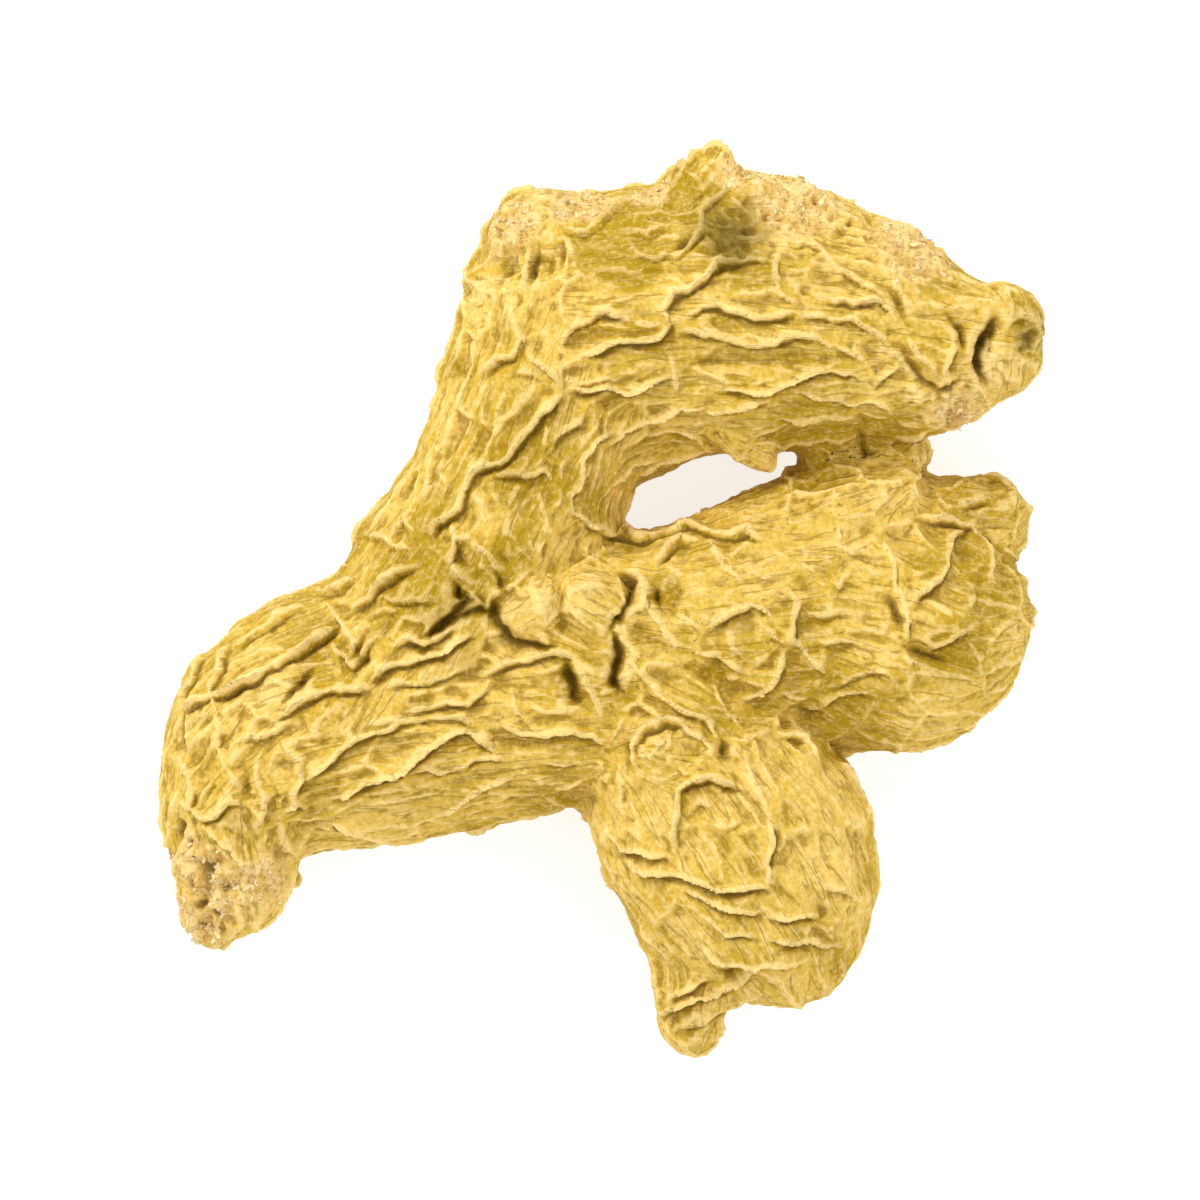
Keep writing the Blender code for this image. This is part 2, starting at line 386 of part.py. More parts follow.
# Creases sunk between swellings, written the same way.
CREASES = (
    (1.0, ((1.6, -0.7), (3.1, -1.4), (2.9, -3.1), (2, -4.7), (0.9, -5.8))),
    (0.4, ((-3.2, -1.4), (-2.9, -2.9), (-2.9, -4.5), (-3.2, -5.8))),
    (1.3, ((-11.2, -2), (-10.6, -3.2), (-11.7, -4), (-13, -5), (-14, -5.8))),
    (1.1, ((-8.1, -2.5), (-8.8, -4), (-8.3, -5.4), (-6.8, -6.7), (-5, -6.8), (-3.2, -6.8))),
    (0.9, ((-8.8, -0.4), (-7.9, -1.4), (-7.4, -2.7))),
    (1.2, ((-2.7, -7.7), (-2.3, -9.7), (-1.8, -11), (-0.7, -12.1))),
    (1.2, ((1.6, -5.8), (1.8, -7.7), (1.3, -9.5), (2.2, -11.2))),
    (1.2, ((4.7, -1.3), (4.9, -2.7), (5.4, -3.8))),
    (1.3, ((33.1, 20.9), (32.6, 19.1), (31.7, 17.8), (31.7, 16.2), (32.2, 14.9))),
    (0.7, ((-7.9, 25.9), (-7.7, 24.5), (-8.3, 23))),
    (0.9, ((-5, 26.8), (-5.4, 25), (-5.6, 23))),
    (0.6, ((-4.1, 25.6), (-4, 24.1))),
    (0.9, ((-2.9, 26.8), (-2.9, 25))),
    (0.8, ((-0.9, 20), (-0.2, 20.7))),
    (0.9, ((5.6, 20.2), (5.6, 19.1))),
    (0.8, ((7.7, 29.5), (8.6, 30.6), (9.5, 31.1))),
    (0.9, ((14.9, 20), (15.8, 20.5))),
    (0.8, ((8.1, 27.7), (7.2, 26.6), (5.8, 25.7))),
    (1.0, ((10.1, -14), (10.4, -15.5), (11.3, -16))),
    (0.9, ((2.9, -14.4), (2.5, -16.4))),
    (0.9, ((14.9, -32.2), (16.2, -31.7), (17.6, -32.2))),
    (0.9, ((9.5, -33.7), (10.8, -34), (12.2, -33.8))),
    (1.0, ((18.4, -28.6), (19.3, -29.2))),
    (0.8, ((-20.2, -8.5), (-19.6, -7.6), (-19.8, -6.5))),
    (0.8, ((-18, -10.1), (-18.4, -9.2))),
    (0.9, ((-29.5, -17.3), (-29.2, -18.7), (-29.3, -19.8))),
    (0.8, ((-26.3, -12.1), (-25.4, -10.8), (-24.3, -9.4), (-23.2, -8.5))),
    (0.8, ((24.1, -1.8), (24.5, -3.2), (25, -4.7), (25.2, -5.9))),
    (0.9, ((32.2, 2.2), (32.9, 1.4))),
    (0.8, ((25.2, -6.8), (26.8, -7.4), (28.3, -7.9), (29.2, -8.6))),
    (0.8, ((16.2, -11.9), (17.6, -12.6), (19.1, -12.2))),
    (0.7, ((-15.8, -6.8), (-14.4, -7.2), (-13, -6.8))),
    (0.8, ((-24.1, -22.1), (-22.9, -22.1))),
    (0.8, ((21.6, 10.6), (22.3, 9.4), (23.9, 9.5))),
)

BLANK_VOXEL = 0.5
WELD_VOXEL = 0.42  # the mesh is skinned once more at this size, which merges folds that touch
SOLID_TRIANGLES = 11200
FOOT_BAND = 0.06  # corners this near the ground are set on it


def smooth_spine(stations):
    """The stations' curve through every station, as a Catmull-Rom spline with even steps on each span."""
    rows = np.array(stations, float)
    if len(rows) == 1:
        return rows
    ends = np.vstack([2 * rows[0] - rows[1], rows, 2 * rows[-1] - rows[-2]])
    spine = [rows[0]]
    for i in range(1, len(rows)):
        before, start, end, after = ends[i - 1], ends[i], ends[i + 1], ends[i + 2]
        for t in np.linspace(0, 1, STEPS_PER_SPAN + 1)[1:]:
            bend = 2 * before - 5 * start + 4 * end - after
            twist = 3 * start - before - 3 * end + after
            spine.append(0.5 * (2 * start + (end - before) * t + bend * t**2 + twist * t**3))
    return np.array(spine)


SPINES = {name: smooth_spine(stations) for name, stations in LIMBS.items()}


def depth_in_limb(points, spine):
    """How far outside one limb each point is, which way is out, and the limb's direction there."""
    starts, ends = (spine[:-1], spine[1:]) if len(spine) > 1 else (spine, spine + [1e-6, 0, 0, 0, 0])
    nearest = np.full(len(points), np.inf)
    out = np.zeros_like(points)
    along = np.zeros_like(points)
    for start, end in zip(starts, ends):
        run = end[:3] - start[:3]
        share = np.clip((points - start[:3]) @ run / (run @ run), 0, 1)
        half_width = start[3] + (end[3] - start[3]) * share
        half_height = start[4] + (end[4] - start[4]) * share
        away = points - start[:3] - share[:, None] * run
        away[:, 2] *= half_width / half_height
        length = np.linalg.norm(away, axis=1)
        depth = length - half_width
        closer = depth < nearest
        nearest[closer] = depth[closer]
        away[:, 2] *= half_width / half_height
        out[closer] = away[closer] / np.maximum(length[closer], 1e-6)[:, None]
        along[closer] = run / max(np.linalg.norm(run), 1e-9)
    return nearest, out, along


def flesh_at(points):
    """The smooth union of all limbs: depth outside it, its slope, the grain's direction and the nearest limb."""
    found = [depth_in_limb(points, spine) for spine in SPINES.values()]
    depths = np.array([depth for depth, _, _ in found])
    floor = depths.min(axis=0)
    share = np.exp((floor - depths) / JOIN_SOFTNESS)
    total = share.sum(axis=0)
    share /= total
    slope = np.einsum("ln,lnk->nk", share, np.array([out for _, out, _ in found]))
    limb = depths.argmin(axis=0)
    grain = np.array([along for _, _, along in found])[limb, np.arange(len(points))]
    return floor - JOIN_SOFTNESS * np.log(total), slope, grain, limb


def settle(points, steps=SETTLE_STEPS):
    """The points moved along the slope until they lie on the flesh's surface."""
    for _ in range(steps):
        depth, slope, _, _ = flesh_at(points)
        points = points - (depth / np.maximum((slope**2).sum(axis=1), 0.1))[:, None] * slope
    return points


def unit(rows):
    """Each row at length one."""
    return rows / np.maximum(np.linalg.norm(rows, axis=1), 1e-9)[:, None]


def surface_frame(points):
    """The way out of the flesh, the grain along its surface and the limb, at points that lie on it."""
    _, slope, grain, limb = flesh_at(points)
    out = unit(slope)
    grain = grain - (grain * out).sum(axis=1)[:, None] * out
    flat = np.cross(out, (0.3, 0.8, 0.5))
    lost = np.linalg.norm(grain, axis=1) < 0.15
    grain[lost] = flat[lost]
    return out, unit(grain), limb


def waves(points, length):
    """Soft noise of one wave length, a number for each point."""
    return np.array([noise.noise(Vector(point)) for point in points / length])


def wander(points, crinkles):
    """The points pushed sideways by soft noise, which makes the ridges crinkle."""
    moved = points.copy()
    for length, reach in crinkles:
        moved += reach * np.array([noise.noise_vector(Vector(point)) for point in points / length])
    return moved


def scatter_plates():
    """Each plate of skin, spread evenly over the flesh: centre, grain, width, length share and a random draw."""
    rng = np.random.default_rng(PLATE_SEED)
    reach = np.vstack(list(SPINES.values()))
    low = (reach[:, :3] - reach[:, 3:4]).min(axis=0)
    high = (reach[:, :3] + reach[:, 3:4]).max(axis=0)
    tries = settle(rng.uniform(low, high, (PLATE_TRIES, 3)), 12)
    _, grain, limb = surface_frame(tries)
    shapes = np.array([PLATES.get(name, OTHER_PLATES) for name in LIMBS])[limb]
    across, squeeze = shapes[:, 0], 1 - 1 / shapes[:, 1] ** 2
    kept = [0]
    for i in range(1, PLATE_TRIES):
        away = tries[kept] - tries[i]
        run = (away * grain[kept]).sum(axis=1)
        if ((away**2).sum(axis=1) - squeeze[kept] * run**2).min() > across[i] ** 2:
            kept.append(i)
    return tries[kept], grain[kept], across[kept], squeeze[kept], rng.uniform(0, 1, len(kept))


def ridge_net(points, plates):
    """For each point its plate, the next one, how far off the line between them is, and how much it crosses."""
    centres, grains, across, squeeze, _ = plates
    first = np.zeros(len(points), int)
    second = np.zeros(len(points), int)
    gap = np.zeros(len(points))
    cross = np.zeros(len(points))
    for part in np.array_split(np.arange(len(points)), max(1, len(points) // 6000)):
        away = points[part, None, :] - centres[None, :, :]
        run = np.einsum("pck,ck->pc", away, grains)
        reach = ((away**2).sum(axis=2) - squeeze * run**2) / across**2
        near = np.argpartition(reach, 2, axis=1)[:, :2]
        rows = np.arange(len(part))
        order = np.argsort(reach[rows[:, None], near], axis=1)
        a, b = near[rows, order[:, 0]], near[rows, order[:, 1]]
        pulls = []
        for plate in (a, b):
            pull = away[rows, plate] - (squeeze[plate] * run[rows, plate])[:, None] * grains[plate]
            pulls.append(pull / across[plate][:, None] ** 2)
        slope = 2 * (pulls[1] - pulls[0])
        steep = np.maximum(np.linalg.norm(slope, axis=1), 1e-6)
        first[part], second[part] = a, b
        gap[part] = (reach[rows, b] - reach[rows, a]) / steep
        cross[part] = np.abs((slope * grains[a]).sum(axis=1)) / steep
    return first, second, gap, cross


def off_line(plan, line):
    """How far each point of the plan is from a drawn line."""
    corners = np.array(line, float)
    nearest = np.full(len(plan), np.inf)
    for start, end in zip(corners[:-1], corners[1:]):
        run = end - start
        share = np.clip((plan - start) @ run / (run @ run), 0, 1)
        nearest = np.minimum(nearest, np.linalg.norm(plan - start - share[:, None] * run, axis=1))
    return nearest


def drawn_height(plan, lines, width, lee=(0, 0)):
    """The highest drawn line at each point as a share, and how far off the nearest one is."""
    height = np.zeros(len(plan))
    nearest = np.full(len(plan), np.inf)
    for strength, line in lines:
        corners = np.array(line, float) + lee
        around = ((plan > corners.min(axis=0) - 3) & (plan < corners.max(axis=0) + 3)).all(axis=1)
        off = off_line(plan[around], corners)
        nearest[around] = np.minimum(nearest[around], off)
        height[around] = np.maximum(height[around], strength * np.exp(-((off / width) ** 1.6)))
    return height, nearest


def relief(points, out, plates):
    """How far the skin stands out from the flesh at each point."""
    draws = plates[4]
    first, second, gap, cross = ridge_net(wander(points, CRINKLES), plates)
    share = (0.25 + (draws[first] + draws[second]) % 1.0) * (1 - (1 - CROSS_RIDGE_SHARE) * cross**2)
    net = RIDGE_HEIGHT * share * np.exp(-((gap / RIDGE_WIDTH) ** 1.6))
    inner = 1 - np.exp(-gap / plates[2][first] * 3)
    net += inner * (PLATE_STEP * (2 * draws[first] - 1) - PLATE_SAG)

    plan = wander(points, CRINKLES[1:])[:, :2]
    seen = np.clip(out[:, 2] / 0.3, 0, 1)
    fold, off = drawn_height(plan, FOLDS, FOLD_WIDTH)
    groove, _ = drawn_height(plan, FOLDS, FOLD_WIDTH, FOLD_LEE)
    crease, _ = drawn_height(plan, CREASES, CREASE_WIDTH)
    net *= 1 - seen * np.exp(-((off / FOLD_CLEARING) ** 2))
    net += seen * (FOLD_HEIGHT * fold - FOLD_GROOVE * groove - CREASE_DEPTH * crease)

    for length, reach in LUMPS:
        net += reach * waves(points, length)
    for place, radius, roughness, sunk in SCARS.values():
        centre = settle(np.array([place]), 12)
        inside = np.exp(-((np.linalg.norm(points - centre, axis=1) / radius) ** 3))
        rough = roughness * (waves(points, 1.6) + 0.6 * waves(points, 0.8))
        net += inside * (rough - sunk - 0.6 * net)
    return net


def sphere_chain():
    """A mesh of overlapping balls along every spine, close in shape to the flesh."""
    mesh = bmesh.new()
    for spine in SPINES.values():
        for x, y, z, half_width, half_height in spine:
            for vert in bmesh.ops.create_icosphere(mesh, subdivisions=3, radius=1.0)["verts"]:
                across, along, up = vert.co
                vert.co = (x + across * half_width, y + along * half_width, z + up * half_height)
    return mesh


def changed(obj, kind, **settings):
    """The object's mesh with one modifier applied."""
    modifier = obj.modifiers.new(kind.title(), kind)
    for name, value in settings.items():
        setattr(modifier, name, value)
    done = bpy.data.meshes.new_from_object(obj.evaluated_get(bpy.context.evaluated_depsgraph_get()))
    obj.modifiers.clear()
    obj.data = done


def corners_of(mesh):
    """The mesh's corners as rows."""
    flat = np.empty(len(mesh.vertices) * 3, np.float32)
    mesh.vertices.foreach_get("co", flat)
    return flat.reshape(-1, 3).astype(float)


def put_corners(mesh, rows):
    """Moves the mesh's corners to the rows."""
    mesh.vertices.foreach_set("co", rows.astype(np.float32).ravel())
    mesh.update()


def skin_material():
    """Dry golden skin."""
    material = bpy.data.materials.new("dried_skin")
    material.use_nodes = True
    shader = material.node_tree.nodes["Principled BSDF"]
    shader.inputs["Base Color"].default_value = SKIN_COLOUR
    shader.inputs["Roughness"].default_value = 0.75
    return material


def main():
    for obj in list(bpy.data.objects):
        bpy.data.objects.remove(obj)
    noise.seed_set(NOISE_SEED)

    blank = bpy.data.meshes.new("ginger_root")
    balls = sphere_chain()
    balls.to_mesh(blank)
    balls.free()
    root = bpy.data.objects.new("ginger_root", blank)
    bpy.context.scene.collection.objects.link(root)
    changed(root, "REMESH", mode="VOXEL", voxel_size=BLANK_VOXEL)

    flesh = settle(corners_of(root.data))
    out, _, _ = surface_frame(flesh)
    skin = flesh + relief(flesh, out, scatter_plates())[:, None] * out
    skin[:, 2] = np.maximum(skin[:, 2], 0)
    put_corners(root.data, skin)
    changed(root, "REMESH", mode="VOXEL", voxel_size=WELD_VOXEL)
    changed(root, "DECIMATE", ratio=SOLID_TRIANGLES / (2 * len(root.data.polygons)), use_collapse_triangulate=True)

    solid = corners_of(root.data)
    solid[solid[:, 2] < FOOT_BAND, 2] = 0
    middle = (solid.min(axis=0) + solid.max(axis=0)) / 2
    solid -= (middle[0], middle[1], 0)
    put_corners(root.data, solid * MM)
    root.data.materials.clear()
    root.data.materials.append(skin_material())
    print("ginger_root", len(root.data.polygons), "triangles, plan centre", middle[:2], "size", np.ptp(solid, axis=0))


main()
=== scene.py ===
"""The look of a dried ginger root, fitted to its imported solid.

The root's skin is one closed mesh. Its flesh is a smooth union of tapering limbs, and the skin is raised from
it by a net of dried plates, by the folds and creases of the side turned up, and by scraped and torn places.
Lengths are written in millimetres in the frame of the limbs' table, and turned to metres in the part's frame
where a mesh is made.
"""

import logging
import math
from dataclasses import dataclass, field
from enum import Enum
from typing import ClassVar

import bmesh
import bpy
import numpy as np
from bpy.types import Material, Mesh, Node, NodeSocket, NodeTree, Object
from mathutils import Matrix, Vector, noise


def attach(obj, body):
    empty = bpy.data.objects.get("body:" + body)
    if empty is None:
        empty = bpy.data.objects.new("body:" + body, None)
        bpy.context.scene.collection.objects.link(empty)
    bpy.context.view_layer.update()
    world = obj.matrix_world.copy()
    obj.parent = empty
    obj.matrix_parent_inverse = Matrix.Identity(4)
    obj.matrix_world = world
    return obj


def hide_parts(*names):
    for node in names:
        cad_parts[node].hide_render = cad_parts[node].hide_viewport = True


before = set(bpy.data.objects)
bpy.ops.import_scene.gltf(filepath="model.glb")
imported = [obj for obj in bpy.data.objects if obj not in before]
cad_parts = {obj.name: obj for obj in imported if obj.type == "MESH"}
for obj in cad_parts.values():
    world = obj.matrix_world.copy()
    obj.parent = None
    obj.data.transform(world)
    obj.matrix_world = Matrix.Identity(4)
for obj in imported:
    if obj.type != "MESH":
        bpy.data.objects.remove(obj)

LOG = logging.getLogger("ginger_root")
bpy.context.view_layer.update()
MM = 0.001
PLAN_CENTRE = (0.217, -2.974)  # where the part's origin lies in the limbs' table
LEE = (0.42, -0.91)  # the direction in plan that the folds and plates drop to
UPPER_SIDE = 0.3  # how much a surface faces up where it fully belongs to the side turned up
NOISE_SEED = 7
FAR = 99.0  # a distance past every limb's reach
TINY = 1e-9  # keeps divisions away from zero

Colour = tuple[float, float, float]
Point = tuple[float, ...]
Line = tuple[float, tuple[tuple[float, float], ...]]
Marks = dict[str, np.ndarray]
Value = NodeSocket | tuple | float

# Each station of a limb: x, y, z of the spine, half width across it in plan, half height.
LIMBS = {
    "arm": (
        (-4.6, 21.6, 9.6, 6.5, 6.8),
        (0.0, 20.8, 9.4, 9.8, 9.4),
        (8.5, 20.6, 9.6, 11.0, 9.4),
        (19.0, 19.9, 10.2, 10.0, 8.4),
        (27.2, 18.6, 11.0, 7.0, 6.4),
        (29.8, 18.5, 11.0, 5.4, 5.2),
    ),
    "arm_end": (
        (26.6, 13.6, 10.4, 2.9, 3.6),
        (29.8, 14.3, 10.2, 2.3, 3.0),
    ),
    "trunk": (
        (-2.4, 18.6, 9.4, 8.6, 8.6),
        (-6.5, 7.0, 9.8, 9.0, 8.6),
        (-12.0, -3.0, 9.4, 9.2, 8.4),
        (-17.0, -11.0, 8.4, 9.0, 8.0),
    ),
    "left_lobe": (
        (-3.6, -11.4, 8.4, 9.0, 7.8),
        (-14.0, -11.8, 8.2, 10.8, 8.4),
        (-24.0, -13.4, 7.7, 10.6, 8.1),
        (-29.9, -19.8, 7.4, 6.8, 6.6),
        (-29.9, -24.2, 7.4, 5.2, 4.9),
        (-30.7, -27.4, 7.2, 3.9, 3.6),
        (-32.1, -30.3, 7.0, 1.5, 1.8),
    ),
    "web": (
        (0.6, 12.0, 8.6, 6.2, 6.4),
        (9.0, 14.4, 8.8, 5.0, 5.6),
        (17.5, 15.2, 8.6, 3.8, 4.6),
    ),
    "touch": (
        (18.8, 9.2, 6.6, 1.9, 4.2),
        (26.0, 9.2, 6.8, 1.7, 3.8),
    ),
    "fork": (
        (-3.0, -7.0, 9.0, 7.6, 7.8),
        (5.0, -11.0, 8.6, 7.6, 7.8),
    ),
    "middle_finger": (
        (0.5, -3.4, 9.4, 5.9, 6.6),
        (9.0, -4.4, 8.8, 8.0, 8.0),
        (19.0, -3.6, 8.0, 11.2, 8.4),
        (26.0, -5.6, 7.6, 9.6, 7.8),
        (31.2, -4.4, 6.8, 5.4, 5.4),
    ),
    "finger_corner": (
        (19.6, 3.0, 8.6, 5.4, 6.6),
        (24.6, 5.8, 10.2, 2.6, 3.6),
    ),
    "shoulder": (
        (25.0, 3.4, 6.6, 4.4, 5.2),
        (32.2, 3.4, 5.4, 3.9, 4.2),
    ),
    "lower_finger": (
        (4.0, -13.0, 9.2, 6.4, 6.8),
        (9.2, -19.6, 8.6, 10.2, 8.8),
        (12.8, -25.0, 8.2, 10.6, 8.6),
        (14.6, -29.5, 7.6, 7.4, 6.6),
    ),
    "stub": (
        (8.6, -31.0, 6.6, 4.6, 4.4),
        (8.0, -38.0, 5.8, 3.0, 3.0),
    ),
    "peak": (
        (8.6, 28.6, 11.0, 4.6, 4.6),
        (10.0, 34.0, 12.0, 1.2, 1.8),
    ),
    "ledge": (
        (12.8, 30.0, 11.6, 2.6, 3.4),
        (18.8, 28.8, 11.6, 2.1, 3.2),
    ),
    "corner": ((-4.8, 27.0, 11.0, 4.4, 4.6),),
    "torn_scale": (
        (11.6, 11.6, 13.6, 2.2, 1.3),
        (13.2, 9.4, 12.8, 1.5, 1.0),
        (14.2, 8.3, 12.2, 0.8, 0.7),
    ),
    "bud_left": (
        (-6.5, -4.1, 14.4, 2.2, 3.4),
        (-4.9, -3.1, 14.7, 2.4, 3.7),
    ),
    "bud_right": (
        (-0.8, -2.8, 14.6, 2.6, 3.7),
        (1.0, -4.1, 14.3, 2.6, 3.5),
    ),
    "scale_bud": ((5.4, -15.8, 15.4, 2.5, 2.9),),
    "nub": (
        (33.8, 20.4, 12.0, 2.9, 3.6),
        (33.9, 17.5, 11.8, 2.9, 3.6),
    ),
}

# The skin has dried into plates: their width across the grain, and how many times longer they are along it.
PLATES = {
    "arm": (2.9, 3.2),
    "trunk": (2.8, 2.8),
    "left_lobe": (2.7, 3.4),
    "web": (2.3, 3.0),
    "fork": (2.7, 2.0),
    "middle_finger": (2.8, 1.5),
    "shoulder": (2.5, 1.5),
    "lower_finger": (3.7, 1.5),
}

